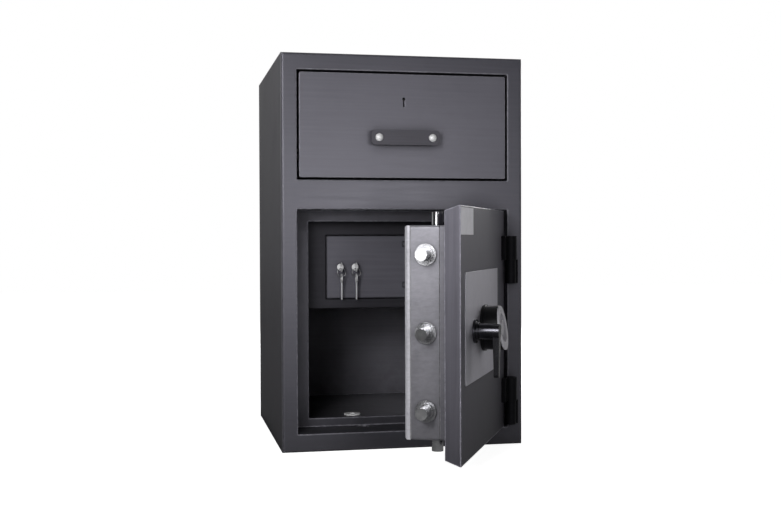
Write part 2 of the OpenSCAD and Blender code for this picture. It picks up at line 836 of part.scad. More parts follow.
module bolt_case() {
    y0 = slab_t + base_frame_d;
    boss_l = 12;
    color("#96969d") swung() difference() {
        union() {
            case_tube(y0, y0 + seam, seam, 4);
            case_tube(y0 + seam, case_back, 0, case_t);
            rod_z(upright_x, bolt_depth, case_z1 - boss_l, case_z1 - case_t, bolt_r + 4);
            rod_z(upright_x, bolt_depth, case_z0 + case_t, case_z0 + boss_l, bolt_r + 4);
        }
        for (i = [-1, 0, 1]) {
            rod_x(case_x0 - past, case_x0 + case_t + past, bolt_depth,
                axis_z + i * bolt_pitch, bolt_r + run_fit);
        }
        rod_z(upright_x, bolt_depth, case_z1 - boss_l - past, case_z1 + past, bolt_r + run_fit);
        rod_z(upright_x, bolt_depth, case_z0 - past, case_z0 + boss_l + past, bolt_r + run_fit);
    }
}

// Places for the cover's screws, as steps across and up from the middle of the case
cover_mid_x = (case_x0 + case_x1) / 2;
screw_step_x = (case_x1 - case_x0) / 2 - 22;
screw_step_z = (case_z1 - case_z0) / 2 - 22;

module bolt_cover() {
    color("#a3a3aa") swung() difference() {
        union() {
            case_tube(case_back, case_back + seam, seam, 4);
            translate([0, cover_back, 0]) mirror([0, 1, 0]) {
                soft_slab(case_x0, case_x1, 0, cover_d - seam, case_z0, case_z1, cover_r);
            }
        }
        block([case_x0 + 6, case_back - past, case_z0 + 6], [case_x1 - 6, cover_back - case_t, case_z1 - 6]);
        for (x = [-1, 1], z = [-1, 0, 1]) {
            rod_y(cover_mid_x + x * screw_step_x, case_back, cover_back + past,
                slab_mid_z + z * screw_step_z, 2.1);
        }
    }
}

module cover_screws() {
    color("silver") swung() for (x = [-1, 1], z = [-1, 0, 1]) {
        px = cover_mid_x + x * screw_step_x;
        pz = slab_mid_z + z * screw_step_z;
        difference() {
            union() {
                rod_y(px, cover_back, cover_back + 1.5, pz, 4.5);
                rod_y(px, cover_back - 10, cover_back, pz, 2);
            }
            block([px - 3.5, cover_back + 0.7, pz - 0.5], [px + 3.5, cover_back + 2, pz + 0.5]);
        }
    }
}

module bolt_collars() {
    color("gainsboro") swung() for (i = [-1, 0, 1]) {
        z = axis_z + i * bolt_pitch;
        difference() {
            union() {
                rod_x(case_x0 - collar_foot_t, case_x0, bolt_depth, z, collar_r);
                rod_x(case_x0 - collar_t, case_x0 - collar_foot_t + past, bolt_depth, z, collar_front_r);
            }
            rod_x(case_x0 - collar_t - past, case_x0 + past, bolt_depth, z, bolt_r + run_fit);
        }
    }
}

// Wedge that the slanted front of the shroud is cut to
module slant_cut(out) {
    big = 3 * shroud_r;
    translate([dial_x, -plate_t - out, axis_z]) rotate([-shroud_slant, 0, 0]) {
        translate([-big / 2, -big, -big / 2]) cube(big);
    }
}

module dial_shroud() {
    color("#1c1c1f") swung() difference() {
        union() {
            rod_y(dial_x, -plate_t - 5, -plate_t, axis_z, shroud_r + 2.5);
            rod_y(dial_x, -plate_t - shroud_out - 12, -plate_t, axis_z, shroud_r);
        }
        slant_cut(shroud_out - 2.5);
        rod_y(dial_x, -plate_t - shroud_out - 20, -plate_t - 4, axis_z, shroud_r - 5);
        rod_y(dial_x, -plate_t - 8, past, axis_z, dial_spindle_r + 1.5);
    }
}

module dial_bezel() {
    color("#b4b4b6") swung() intersection() {
        difference() {
            rod_y(dial_x, -plate_t - shroud_out - 14, -plate_t - 2, axis_z, shroud_r);
            slant_cut(shroud_out);
            rod_y(dial_x, -plate_t - shroud_out - 20, past, axis_z, bezel_hole_r);
        }
        slant_cut(shroud_out - 2.5);
    }
}

module dial() {
    y = -plate_t - shroud_out;
    color("#bdbdc0") swung() union() {
        rod_y(dial_x, y + dial_set, y + dial_set + 5, axis_z, dial_r);
        rod_y(dial_x, y + dial_set + 5, -plate_t - 5, axis_z, 12);
        difference() {
            rod_y(dial_x, y + 1, y + dial_set, axis_z, grip_r);
            for (a = [0:20:359]) {
                gx = dial_x + (grip_r + 0.8) * cos(a);
                gz = axis_z + (grip_r + 0.8) * sin(a);
                rod_y(gx, y, y + dial_set, gz, 1.8, $fn = 24);
            }
        }
    }
}

module dial_spindle() {
    color("silver") swung() rod_y(dial_x, -plate_t - 5, slab_t + lock_d - 2, axis_z, dial_spindle_r);
}

module handle_rose() {
    color("#222226") swung() difference() {
        union() {
            rod_y(handle_x, -plate_t - 4, -plate_t, axis_z, 22);
            rod_y(handle_x, -plate_t - 9, -plate_t - 4, axis_z, hub_r + 3);
        }
        rod_y(handle_x, -plate_t - 10, past, axis_z, spindle_r + run_fit);
    }
}

// Lever that points down, on a round hub
module handle_lever() {
    y0 = -lever_out - 6;
    y1 = -lever_out + 6;
    color("#3c3c40") swung() difference() {
        union() {
            rod_y(handle_x, y0, -plate_t - 9 - slip, axis_z, hub_r);
            hull() {
                rod_y(handle_x, y0, y1, axis_z, 10, $fn = 32);
                rod_y(handle_x, y0 + 1.5, y1 - 1.5, axis_z - lever_l + 6, 6, $fn = 32);
            }
        }
        rod_y(handle_x, y0 + 4, 0, axis_z, spindle_r + 0.02);
    }
}

module handle_spindle() {
    color("silver") swung() rod_y(handle_x, -lever_out - 2, disc_y, axis_z, spindle_r);
}

// Crank pins: the side carriage's below, the top bolt's at the free edge, the bottom bolt's opposite
side_pin = [crank_arm * sin(crank_start), -crank_arm * cos(crank_start)];
top_pin = [-crank_arm * cos(crank_start), -crank_arm * sin(crank_start)];
bottom_pin = [crank_arm * cos(crank_start), crank_arm * sin(crank_start)];

module crank_disc() {
    color("darkgray") swung() union() {
        rod_y(handle_x, disc_y, disc_y + disc_t, axis_z, disc_r);
        rod_y(handle_x + side_pin[0], disc_y + disc_t, link_y + link_t + 1,
            axis_z + side_pin[1], crank_pin_r);
        for (p = [top_pin, bottom_pin]) {
            rod_y(handle_x + p[0], disc_y + disc_t, bar_y + link_t + 1, axis_z + p[1], crank_pin_r);
        }
    }
}

module side_bolts() {
    color("gainsboro") swung() for (i = [-1, 0, 1]) {
        z = axis_z + i * bolt_pitch;
        rod_x(side_tip_x, carriage_x, bolt_depth, z, bolt_r);
        rod_x(carriage_x, carriage_x + carriage_t + nut_t + 1, bolt_depth, z, tail_r);
    }
}

// Upright plate, arm and slotted lug that join the side bolts to the crank
module side_carriage() {
    lug_x = handle_x + side_pin[0];
    reach = crank_pin_r + crank_slack;
    low = crank_arm * cos(crank_start);
    bolt_x = dial_x;
    notch_x = bolt_x + lock_bolt_w / 2 + bolt_throw;
    block_x = bolt_x - lock_bolt_w / 2 - 5;
    color("#a8a8a8") swung() difference() {
        union() {
            block([carriage_x, link_y, axis_z - bolt_pitch - 26],
                [carriage_x + carriage_t, bolt_depth + bolt_r + 4, axis_z + bolt_pitch + 26]);
            outline_plate(link_y, link_y + link_t, [
                [carriage_x, arm_z0], [notch_x + 12, arm_z0], [notch_x + 12, arm_z1],
                [lug_x + slot_half, arm_z1], [lug_x + slot_half, axis_z - low + reach + 4],
                [lug_x - slot_half, axis_z - low + reach + 4], [lug_x - slot_half, arm_z1],
                [carriage_x, arm_z1]]);
            outline_plate(lock_bolt_y - 2, link_y, [
                [block_x, arm_z0], [notch_x + 12, arm_z0], [notch_x + 12, arm_z1], [block_x, arm_z1]]);
        }
        outline_plate(link_y - past, link_y + link_t + past, [
            [lug_x - reach, axis_z - low + reach], [lug_x - reach, axis_z - crank_arm - reach],
            [lug_x + reach, axis_z - crank_arm - reach], [lug_x + reach, axis_z - low + reach]]);
        outline_plate(lock_bolt_y - 2 - past, link_y + link_t + past, [
            [bolt_x - lock_bolt_w / 2 - 1, arm_z1 + past], [bolt_x - lock_bolt_w / 2 - 1, arm_z1],
            [notch_x - lock_bolt_w, arm_z1 - lock_throw - 0.8], [notch_x + 1, arm_z1 - lock_throw - 0.8],
            [notch_x + 1, arm_z1 + past]]);
        for (i = [-1, 0, 1]) {
            rod_x(carriage_x - past, carriage_x + carriage_t + past, bolt_depth,
                axis_z + i * bolt_pitch, tail_r + 0.02);
        }
    }
}

module side_bolt_nuts() {
    color("silver") swung() for (i = [-1, 0, 1]) {
        translate([carriage_x + carriage_t, bolt_depth, axis_z + i * bolt_pitch]) rotate([0, 90, 0]) {
            difference() {
                cylinder(r = nut_r, h = nut_t, $fn = 6);
                translate([0, 0, -past]) cylinder(r = tail_r + 0.02, h = nut_t + 2 * past);
            }
        }
    }
}

// A strap from the crank to an upright bolt; way is 1 for the top bolt and -1 for the bottom bolt
module bolt_strap(way) {
    reach = crank_pin_r + crank_slack;
    low = crank_arm * cos(crank_start);
    bolt_end = way > 0 ? top_tip_z - upright_l - axis_z : axis_z - bottom_tip_z - upright_l;
    side = upright_step * way;
    translate([handle_x, 0, axis_z]) scale([way, 1, way]) difference() {
        union() {
            block([-foot_out, bar_y, -foot_h], [-foot_in, bar_y + link_t, 0]);
            if (way > 0) {
                block([-foot_out, bar_y, 0], [-leg_in, bar_y + link_t, jog_z + jog_h]);
                block([-foot_out, bar_y, jog_z], [side + strap_w / 2, bar_y + link_t, jog_z + jog_h]);
                block([side - strap_w / 2, bar_y, jog_z], [side + strap_w / 2, bar_y + link_t, bolt_end]);
            } else {
                block([side - strap_w / 2, bar_y, -foot_h], [-leg_in, bar_y + link_t, 0]);
                block([side - strap_w / 2, bar_y, -foot_h], [side + strap_w / 2, bar_y + link_t, bolt_end]);
            }
            block([side - strap_w / 2, bar_y, bolt_end - 6],
                [side + strap_w / 2, bolt_depth + bolt_r + 2, bolt_end]);
        }
        block([-crank_arm - reach, bar_y - past, -low - reach],
            [-low + reach, bar_y + link_t + past, -low + reach]);
        rod_z(side, bolt_depth, bolt_end - 6 - past, bolt_end + past, tail_r + 0.02);
    }
}

module top_bolt() {
    z0 = top_tip_z - upright_l;
    color("gainsboro") swung() union() {
        rod_z(upright_x, bolt_depth, z0, top_tip_z, bolt_r);
        rod_z(upright_x, bolt_depth, z0 - 10, z0, tail_r);
    }
}

module top_bolt_bar() {
    color("#a8a8a8") swung() bolt_strap(1);
}

module bottom_bolt() {
    z1 = bottom_tip_z + upright_l;
    color("gainsboro") swung() union() {
        rod_z(upright_x, bolt_depth, bottom_tip_z, z1, bolt_r);
        rod_z(upright_x, bolt_depth, z1, z1 + 10, tail_r);
    }
}

module bottom_bolt_bar() {
    color("#a8a8a8") swung() bolt_strap(-1);
}

module lock_case() {
    x0 = dial_x - lock_w / 2;
    x1 = dial_x + lock_w / 2;
    color("#7a7a80") swung() union() {
        difference() {
            block([x0, slab_t, lock_z0], [x1, slab_t + lock_d, lock_z0 + lock_h]);
            block([x0 + lock_t, slab_t + lock_t, lock_z0 + lock_t],
                [x1 - lock_t, slab_t + lock_d + past, lock_z0 + lock_h - lock_t]);
            rod_y(dial_x, slab_t - past, slab_t + lock_t + past, axis_z, dial_spindle_r + run_fit);
            block([dial_x - lock_bolt_w / 2 - 0.1, lock_bolt_y - 0.1, lock_z0 - past],
                [dial_x + lock_bolt_w / 2 + 0.1, lock_bolt_y + lock_bolt_t + 0.1, lock_z0 + lock_t + past]);
        }
        difference() {
            rod_y(dial_x, slab_t + lock_t, wheel_y0 + 3 * wheel_pitch, axis_z, post_r);
            rod_y(dial_x, slab_t, wheel_y0 + 3 * wheel_pitch + past, axis_z, dial_spindle_r + run_fit);
        }
    }
}

module lock_cover() {
    y = slab_t + lock_d;
    color("#8a8a90") swung() block([dial_x - lock_w / 2, y, lock_z0],
        [dial_x + lock_w / 2, y + 1, lock_z0 + lock_h]);
}

module lock_bolt() {
    z0 = lock_z0 + 1;
    color("goldenrod") swung() block([dial_x - lock_bolt_w / 2, lock_bolt_y, z0 - 0.5],
        [dial_x + lock_bolt_w / 2, lock_bolt_y + lock_bolt_t, z0 + lock_bolt_h - 0.5]);
}

// A lock wheel with its gate, turned so that no two gates line up
module lock_wheel(i) {
    y = wheel_y0 + i * wheel_pitch;
    swung() difference() {
        rod_y(dial_x, y, y + wheel_t, axis_z, wheel_r);
        rod_y(dial_x, y - past, y + wheel_t + past, axis_z, post_r + run_fit);
        translate([dial_x, y - past, axis_z]) rotate([0, 70 * (i + 1), 0]) {
            block([-2.5, 0, wheel_r - 6], [2.5, wheel_t + 2 * past, wheel_r + past]);
        }
    }
}

module lock_wheel_1() {
    color("goldenrod") lock_wheel(0);
}

module lock_wheel_2() {
    color("goldenrod") lock_wheel(1);
}

module lock_wheel_3() {
    color("goldenrod") lock_wheel(2);
}

module drive_cam() {
    y = wheel_y0 + 3 * wheel_pitch + 1;
    color("#b08d3c") swung() difference() {
        rod_y(dial_x, y, y + 3, axis_z, wheel_r);
        rod_y(dial_x, y - past, y + 4, axis_z, dial_spindle_r + 0.02);
        translate([dial_x, y - past, axis_z]) rotate([0, 25, 0]) {
            block([-3, 0, wheel_r - 6], [3, 5, wheel_r + past]);
        }
    }
}

// Keyhole outline: a round head with a slot below it
module keyhole(y0, y1) {
    rod_y(0, y0, y1, key_z + 6.5, 3.4);
    block([-1.5, y0, key_z - 10], [1.5, y1, key_z + 6.5]);
}

module drawer_front() {
    color("#505057") placed() difference() {
        round_plate(-drawer_x, drawer_x, 0, drawer_front_t, front_z0, front_z1, 3);
        keyhole(-past, drawer_front_t + past);
        for (x = [-1, 1]) rod_y(x * post_x, -past, 12, bar_axis_z, bar_screw_r + 0.02);
    }
}

// Open tray whose floor slopes down to a drop slot at its back
module drawer_tray() {
    slope_z = tray_z0 + floor_fall * (drawer_lock_z - tray_z0);
    slot_y = chute_y - 6;
    color("#6a6a70") placed() union() {
        for (side = [-1, 1]) scale([side, 1, 1]) {
            block([tray_x - tray_t, drawer_front_t, tray_z0], [tray_x, tray_back, tray_z1]);
            block([tray_x - tray_t, drawer_front_t, flange_z],
                [tray_x + flange_w, tray_back, flange_z + tray_t]);
        }
        block([-tray_x, tray_back - tray_t, tray_z0], [tray_x, tray_back, tray_z1]);
        translate([-tray_x + tray_t, 0, 0]) rotate([90, 0, 90]) linear_extrude(2 * (tray_x - tray_t)) {
            polygon([[drawer_front_t, slope_z], [slot_y, tray_z0], [slot_y, tray_z0 + tray_t],
                [drawer_front_t, slope_z + tray_t]]);
        }
    }
}

module drawer_bar() {
    y1 = -bar_gap;
    color("#2e2e32") placed() difference() {
        round_plate(-bar_l / 2, bar_l / 2, y1 - bar_t, y1, bar_axis_z - bar_h / 2, bar_axis_z + bar_h / 2, 7);
        for (x = [-1, 1]) rod_y(x * post_x, y1 - bar_t - past, y1 + past, bar_axis_z, bar_screw_r + 0.02);
    }
}

module drawer_bar_posts() {
    color("silver") placed() for (x = [-1, 1]) difference() {
        rod_y(x * post_x, -bar_gap, 0, bar_axis_z, bar_post_r);
        rod_y(x * post_x, -bar_gap - past, past, bar_axis_z, bar_screw_r + 0.02);
    }
}

module drawer_bar_screws() {
    dome_r = 9.5;
    head_y = -bar_gap - bar_t;
    color("gainsboro") placed() for (x = [-1, 1]) union() {
        intersection() {
            translate([x * post_x, head_y + 4.5, bar_axis_z]) sphere(r = dome_r);
            rod_y(x * post_x, head_y - 6, head_y, bar_axis_z, screw_r);
        }
        rod_y(x * post_x, head_y, 10, bar_axis_z, bar_screw_r);
    }
}

module drawer_lock_case() {
    y0 = drawer_front_t;
    y1 = y0 + drawer_lock_t;
    color("#8a7a4a") placed() difference() {
        block([-drawer_lock_w / 2, y0, drawer_lock_z],
            [drawer_lock_w / 2, y1, drawer_lock_z + drawer_lock_h]);
        block([-drawer_lock_w / 2 + 8, y0 + 4, drawer_lock_z + 4],
            [drawer_lock_w / 2 - 8, y1 - 4, drawer_lock_z + drawer_lock_h - 4]);
        block([-deadbolt_w / 2 - 0.1, deadbolt_y - 0.1, drawer_lock_z + drawer_lock_h - 5],
            [deadbolt_w / 2 + 0.1, deadbolt_y + deadbolt_t + 0.1, drawer_lock_z + drawer_lock_h + past]);
        keyhole(y0 - past, y0 + 4 + past);
    }
}

module drawer_lock_bolt() {
    color("goldenrod") placed() block([-deadbolt_w / 2, deadbolt_y, key_z + 12],
        [deadbolt_w / 2, deadbolt_y + deadbolt_t, front_z1 - 2.5]);
}

outer_shell();
front_frame();
barrier_fill();
vault_liner();
drawer_chamber();
drop_chute();
drawer_runners();
anchor_sleeves();
cabinet_knuckles();
hinge_pins();
locker_case();
locker_knuckles();
locker_door();
locker_lock_bodies();
locker_plug_left();
locker_plug_right();
locker_key_left();
locker_key_right();
key_ring_left();
key_ring_right();
spare_key_left();
spare_key_right();
door_slab();
door_knuckles();
face_plate();
paper_label();
bolt_base_frame();
bolt_case();
bolt_cover();
cover_screws();
bolt_collars();
dial_shroud();
dial_bezel();
handle_rose();
lock_case();
lock_cover();
handle_lever();
handle_spindle();
crank_disc();
side_bolts();
side_carriage();
side_bolt_nuts();
top_bolt();
top_bolt_bar();
bottom_bolt();
bottom_bolt_bar();
lock_bolt();
dial();
dial_spindle();
drive_cam();
lock_wheel_1();
lock_wheel_2();
lock_wheel_3();
drawer_front();
drawer_tray();
drawer_bar();
drawer_bar_posts();
drawer_bar_screws();
drawer_lock_case();
drawer_lock_bolt();
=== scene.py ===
"""Dresses a packed deposit safe: paint, metals, dial marks, studio floor, lamps and camera."""

import logging
import math
from dataclasses import dataclass
from enum import Enum
from typing import Any, Callable, Sequence

import bmesh
import bpy
from mathutils import Matrix, Vector


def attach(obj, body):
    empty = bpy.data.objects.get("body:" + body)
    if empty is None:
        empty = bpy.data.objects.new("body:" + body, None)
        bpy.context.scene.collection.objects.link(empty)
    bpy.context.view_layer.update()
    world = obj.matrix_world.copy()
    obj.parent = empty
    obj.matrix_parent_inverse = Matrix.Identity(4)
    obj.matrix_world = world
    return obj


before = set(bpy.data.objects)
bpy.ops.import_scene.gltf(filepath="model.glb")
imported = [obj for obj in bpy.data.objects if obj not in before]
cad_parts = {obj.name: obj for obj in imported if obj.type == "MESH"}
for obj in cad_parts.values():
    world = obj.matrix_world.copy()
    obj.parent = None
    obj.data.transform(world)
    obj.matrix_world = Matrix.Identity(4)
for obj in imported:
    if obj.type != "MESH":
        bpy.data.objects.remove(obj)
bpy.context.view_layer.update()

LOG = logging.getLogger("safe")

Color = tuple[float, float, float]
Point = tuple[float, float, float]
Band = tuple[float, float]
Cloud = tuple[float, float, float]
Layers = tuple[float, float]
Socket = bpy.types.NodeSocket
Inputs = bpy.types.NodeOutputs  # What a group is given comes out of its input node.
Tree = bpy.types.NodeTree

BLACK: Color = (0.0, 0.0, 0.0)
WHITE: Color = (1.0, 1.0, 1.0)
MM = 0.001
CABINET_DEPTH = 508 * MM
HINGE_X = 224.8 * MM
HINGE_Y = -13.4 * MM
DOOR_ANGLE = math.radians(63)
DOOR_EDGE_X = -219.5 * MM
DIAL_FROM_EDGE = 205 * MM
DIAL_X = DOOR_EDGE_X + DIAL_FROM_EDGE
AXIS_Z = 266.25 * MM


def door_matrix() -> Matrix:
    """Gives the move from the shut door, drawn from the front plane, to where the door stands.

    Returns:
        A 4 x 4 matrix.
    """
    hinge = Matrix.Translation((HINGE_X, HINGE_Y, 0))
    turn = Matrix.Rotation(DOOR_ANGLE, 4, "Z")
    return Matrix.Translation((0, -CABINET_DEPTH / 2, 0)) @ hinge @ turn @ hinge.inverted()


class Graph:
    """A node tree that is being built."""

    COLUMN_STEP = 190
    ROW_STEP = 160
    ROWS = 4

    def __init__(self, tree: Tree) -> None:
        """Starts with an empty tree.

        Args:
            tree: the tree to fill.
        """
        self.tree = tree
        tree.nodes.clear()
        self.count = 0

    def join(self, source: Socket, target: Socket) -> None:
        """Links an output to an input."""
        self.tree.links.new(source, target)

    def add(self, kind: str, inputs: dict[Any, Any] | None = None, **props: Any) -> bpy.types.Node:
        """Adds a node, sets its properties and fills or links its inputs.

        Args:
            kind: the node's type without the ShaderNode prefix, or the full name of a group's end.
            inputs: input name or index to a value or to another node's output socket.
            props: node properties.

        Returns:
            The new node.
        """
        node = self.tree.nodes.new(kind if kind.startswith("NodeGroup") else "ShaderNode" + kind)
        node.location = (self.count * self.COLUMN_STEP, -(self.count % self.ROWS) * self.ROW_STEP)
        self.count += 1
        for key, value in props.items():
            setattr(node, key, value)
        for key, value in (inputs or {}).items():
            socket = node.inputs[key]
            if isinstance(value, Socket):
                self.join(value, socket)
            else:
                socket.default_value = (*value, 1.0) if socket.type == "RGBA" else value
        return node

    def coordinate(self, kind: str = "Object") -> Socket:
        """Gives one of the surface's own coordinates."""
        return self.add("TexCoord").outputs[kind]

    def calc(self, operation: str, first: Any, second: Any, clamp: bool = False) -> Socket:
        """Adds a Math node.

        Args:
            operation: the Math node's operation.
            first: value or socket.
            second: value or socket.
            clamp: whether the result is kept between 0 and 1.

        Returns:
            The output socket.
        """
        return self.add("Math", {0: first, 1: second}, operation=operation, use_clamp=clamp).outputs[0]

    def spread(self, value: Socket, low: float, high: float, to_low: Any = 0.0, to_high: Any = 1.0) -> Socket:
        """Maps a value from one range to another, without going past its ends.

        Args:
            value: the socket to map.
            low: start of the range that comes in.
            high: end of the range that comes in.
            to_low: what low becomes.
            to_high: what high becomes.

        Returns:
            The output socket.
        """
        inputs = {"Value": value, "From Min": low, "From Max": high, "To Min": to_low, "To Max": to_high}
        return self.add("MapRange", inputs, clamp=True).outputs[0]

    def blend(self, factor: Any, first: Any, second: Any) -> Socket:
        """Mixes two colours.

        Args:
            factor: how much of the second shows.
            first: colour or socket.
            second: colour or socket.

        Returns:
            The colour output.
        """
        return self.add("Mix", {0: factor, 6: first, 7: second}, data_type="RGBA").outputs[2]

    def noise(self, scale: Any, detail: float, roughness: float, place: Socket | None = None,
              output: str = "Fac") -> Socket:
        """Adds clouds of noise.

        Args:
            scale: how fine the clouds are, value or socket.
            detail: how many finer layers they have.
            roughness: how strong the finer layers are.
            place: where they lie, the surface's own place by default.
            output: which output of the noise is meant.

        Returns:
            The output socket.
        """
        inputs = {"Vector": place or self.coordinate(), "Scale": scale, "Detail": detail,
                  "Roughness": roughness}
        return self.add("TexNoise", inputs).outputs[output]

    def masked(self, first: Socket, second: Socket, amount: Socket) -> Socket:
        """Multiplies two masks by an amount, kept between 0 and 1."""
        return self.calc("MULTIPLY", self.calc("MULTIPLY", first, second), amount, True)


class Effect(Enum):
    """Shared surface effects, each one a node group."""

    ROUND_EDGE = "rounded edge"
    PEEL = "paint peel"
    DRIFT = "tone drift"
    # Partly edge wear, partly painted highlight on edges.
    WEAR = "edge wear and painted edge light"
    DUST = "settled dust"
    SCRATCH = "fine scratches"
    DRAWN = "drawn metal lines"
    SMUDGE = "hand smudges"
    # Painted shade: darkens corners, gaps and recesses.
    GRIME = "painted shade in corners"


@dataclass(frozen=True)
class EffectPlan:
    """How the group of an effect is made: what fills it, its output, and its inputs with their defaults."""

    fill: Callable[[Graph, Inputs], Socket]
    output: str
    inputs: dict[str, float]
    vector_out: bool = False
    vector_in: str = ""


class EffectShop:
    """Builds each shared effect once and places it in materials.

    A band is where a value starts to count and where it counts in full. A cloud is the scale, detail and
    roughness of a noise, and layers are the last two of these.
    """

    BEVEL_SAMPLES = 6
    PEEL_LAYERS: Layers = (2.0, 0.5)
    PEEL_SWELL_SCALE = 0.13
    PEEL_SWELL_LAYERS: Layers = (1.0, 0.5)
    PEEL_SWELL_HEIGHT = 1.6
    DRIFT_LAYERS: Layers = (5.0, 0.62)
    DRIFT_BAND: Band = (0.3, 0.7)
    WORN_BAND: Band = (0.999, 0.93)
    CHIP_CLOUD: Cloud = (90.0, 6.0, 0.7)
    CHIP_BAND: Band = (0.42, 0.62)
    CHIP_LEAST = 0.45
    UPWARD_BAND: Band = (0.45, 0.98)
    DUST_CLOUD: Cloud = (35.0, 8.0, 0.68)
    DUST_BAND: Band = (0.35, 0.75)
    SCRATCH_TURN_AND_STRETCH = ((0.5, 14.0), (-0.9, 22.0))
    SCRATCH_TILT = 0.7
    SCRATCH_WIDTH = 0.018
    SCRATCH_CLOUD: Cloud = (25.0, 3.0, 0.5)
    SCRATCH_BAND: Band = (0.5, 0.68)
    DRAWN_SHEAR = 0.37
    DRAWN_CLOUD: Cloud = (1.0, 3.0, 0.6)
    SMUDGE_BEND = 0.06
    SMUDGE_BEND_CLOUD: Cloud = (9.0, 2.0, 0.5)
    SMUDGE_LAYERS: Layers = (4.0, 0.55)
    SMUDGE_BAND: Band = (0.5, 0.72)
    CORNER_SAMPLES = 8
    CORNER_BAND: Band = (0.92, 0.30)
    GRIME_CLOUD: Cloud = (30.0, 5.0, 0.6)
    GRIME_BAND: Band = (0.3, 0.6)
    GRIME_LEAST = 0.75

    def __init__(self) -> None:
        """Starts with nothing built, and with a plan for every effect."""
        self.built: dict[Effect, Tree] = {}
        self.plans = {
            Effect.ROUND_EDGE: EffectPlan(self._round_edge, "Normal", {"Radius": 0.001}, vector_out=True),
            Effect.PEEL: EffectPlan(self._peel, "Height", {"Scale": 500.0}),
            Effect.DRIFT: EffectPlan(self._drift, "Amount", {"Scale": 6.0}),
            Effect.WEAR: EffectPlan(self._wear, "Mask", {"Radius": 0.0015, "Amount": 0.5}),
            Effect.DUST: EffectPlan(self._dust, "Mask", {"Amount": 0.3}),
            Effect.SCRATCH: EffectPlan(self._scratch, "Mask", {"Scale": 60.0, "Amount": 0.4}),
            Effect.DRAWN: EffectPlan(self._drawn, "Lines", {"Along": 20.0, "Across": 2400.0},
                                     vector_in="Place"),
            Effect.SMUDGE: EffectPlan(self._smudge, "Mask", {"Scale": 18.0, "Amount": 0.5}),
            Effect.GRIME: EffectPlan(self._grime, "Mask", {"Reach": 0.03, "Amount": 0.5}),
        }

    def place(self, graph: Graph, effect: Effect, **inputs: Any) -> Socket:
        """Places an effect in a material, and builds its group at its first use.

        Args:
            graph: the material's graph.
            effect: which effect.
            inputs: the group's inputs by name, value or socket.

        Returns:
            The effect's output.
        """
        if effect not in self.built:
            self.built[effect] = self._make(effect.value, self.plans[effect])
        return graph.add("Group", inputs, node_tree=self.built[effect]).outputs[0]

    @staticmethod
    def _make(name: str, plan: EffectPlan) -> Tree:
        """Builds the group of an effect.

        Args:
            name: the group's name.
            plan: its inputs, its output and what fills it.

        Returns:
            The group's tree.
        """
        tree = bpy.data.node_groups.new(name, "ShaderNodeTree")
        for key, value in plan.inputs.items():
            socket = tree.interface.new_socket(key, in_out="INPUT", socket_type="NodeSocketFloat")
            socket.default_value = value
        if plan.vector_in:
            socket = tree.interface.new_socket(plan.vector_in, in_out="INPUT", socket_type="NodeSocketVector")
            socket.hide_value = True
        kind = "NodeSocketVector" if plan.vector_out else "NodeSocketFloat"
        tree.interface.new_socket(plan.output, in_out="OUTPUT", socket_type=kind)
        graph = Graph(tree)
        result = plan.fill(graph, graph.add("NodeGroupInput").outputs)
        graph.add("NodeGroupOutput", {0: result})
        return tree

    def _round_edge(self, graph: Graph, given: Inputs) -> Socket:
        """Softens the normal at sharp edges, as a milled or pressed edge has."""
        return graph.add("Bevel", {"Radius": given["Radius"]}, samples=self.BEVEL_SAMPLES).outputs[0]

    def _peel(self, graph: Graph, given: Inputs) -> Socket:
        """Height of sprayed paint: small soft dimples over a slow swell.

        Args:
            graph: the group's graph.
            given: the group's inputs.

        Returns:
            The height.
        """
        scale = graph.calc("MULTIPLY", given["Scale"], self.PEEL_SWELL_SCALE)
        swell = graph.noise(scale, *self.PEEL_SWELL_LAYERS)
        swell = graph.calc("MULTIPLY", swell, self.PEEL_SWELL_HEIGHT)
        return graph.calc("ADD", graph.noise(given["Scale"], *self.PEEL_LAYERS), swell)

    def _drift(self, graph: Graph, given: Inputs) -> Socket:
        """Slow change of tone over a surface."""
        return graph.spread(graph.noise(given["Scale"], *self.DRIFT_LAYERS), *self.DRIFT_BAND)

    def _wear(self, graph: Graph, given: Inputs) -> Socket:
        """Mask of edges, partly wear and partly painted edge light: where the rounded normal leaves the flat
        one, broken up by noise.

        Args:
            graph: the group's graph.
            given: the group's inputs.

        Returns:
            The mask.
        """
        flat = graph.add("NewGeometry").outputs["Normal"]
        inputs = {0: self._round_edge(graph, given), 1: flat}
        turn = graph.add("VectorMath", inputs, operation="DOT_PRODUCT").outputs["Value"]
        chips = graph.spread(graph.noise(*self.CHIP_CLOUD), *self.CHIP_BAND, self.CHIP_LEAST, 1.0)
        return graph.masked(graph.spread(turn, *self.WORN_BAND), chips, given["Amount"])

    def _dust(self, graph: Graph, given: Inputs) -> Socket:
        """Mask of dust that lies on faces that look up.

        Args:
            graph: the group's graph.
            given: the group's inputs.

        Returns:
            The mask.
        """
        upward = graph.add("SeparateXYZ", {0: graph.add("NewGeometry").outputs["Normal"]}).outputs["Z"]
        patches = graph.spread(graph.noise(*self.DUST_CLOUD), *self.DUST_BAND)
        return graph.masked(graph.spread(upward, *self.UPWARD_BAND), patches, given["Amount"])

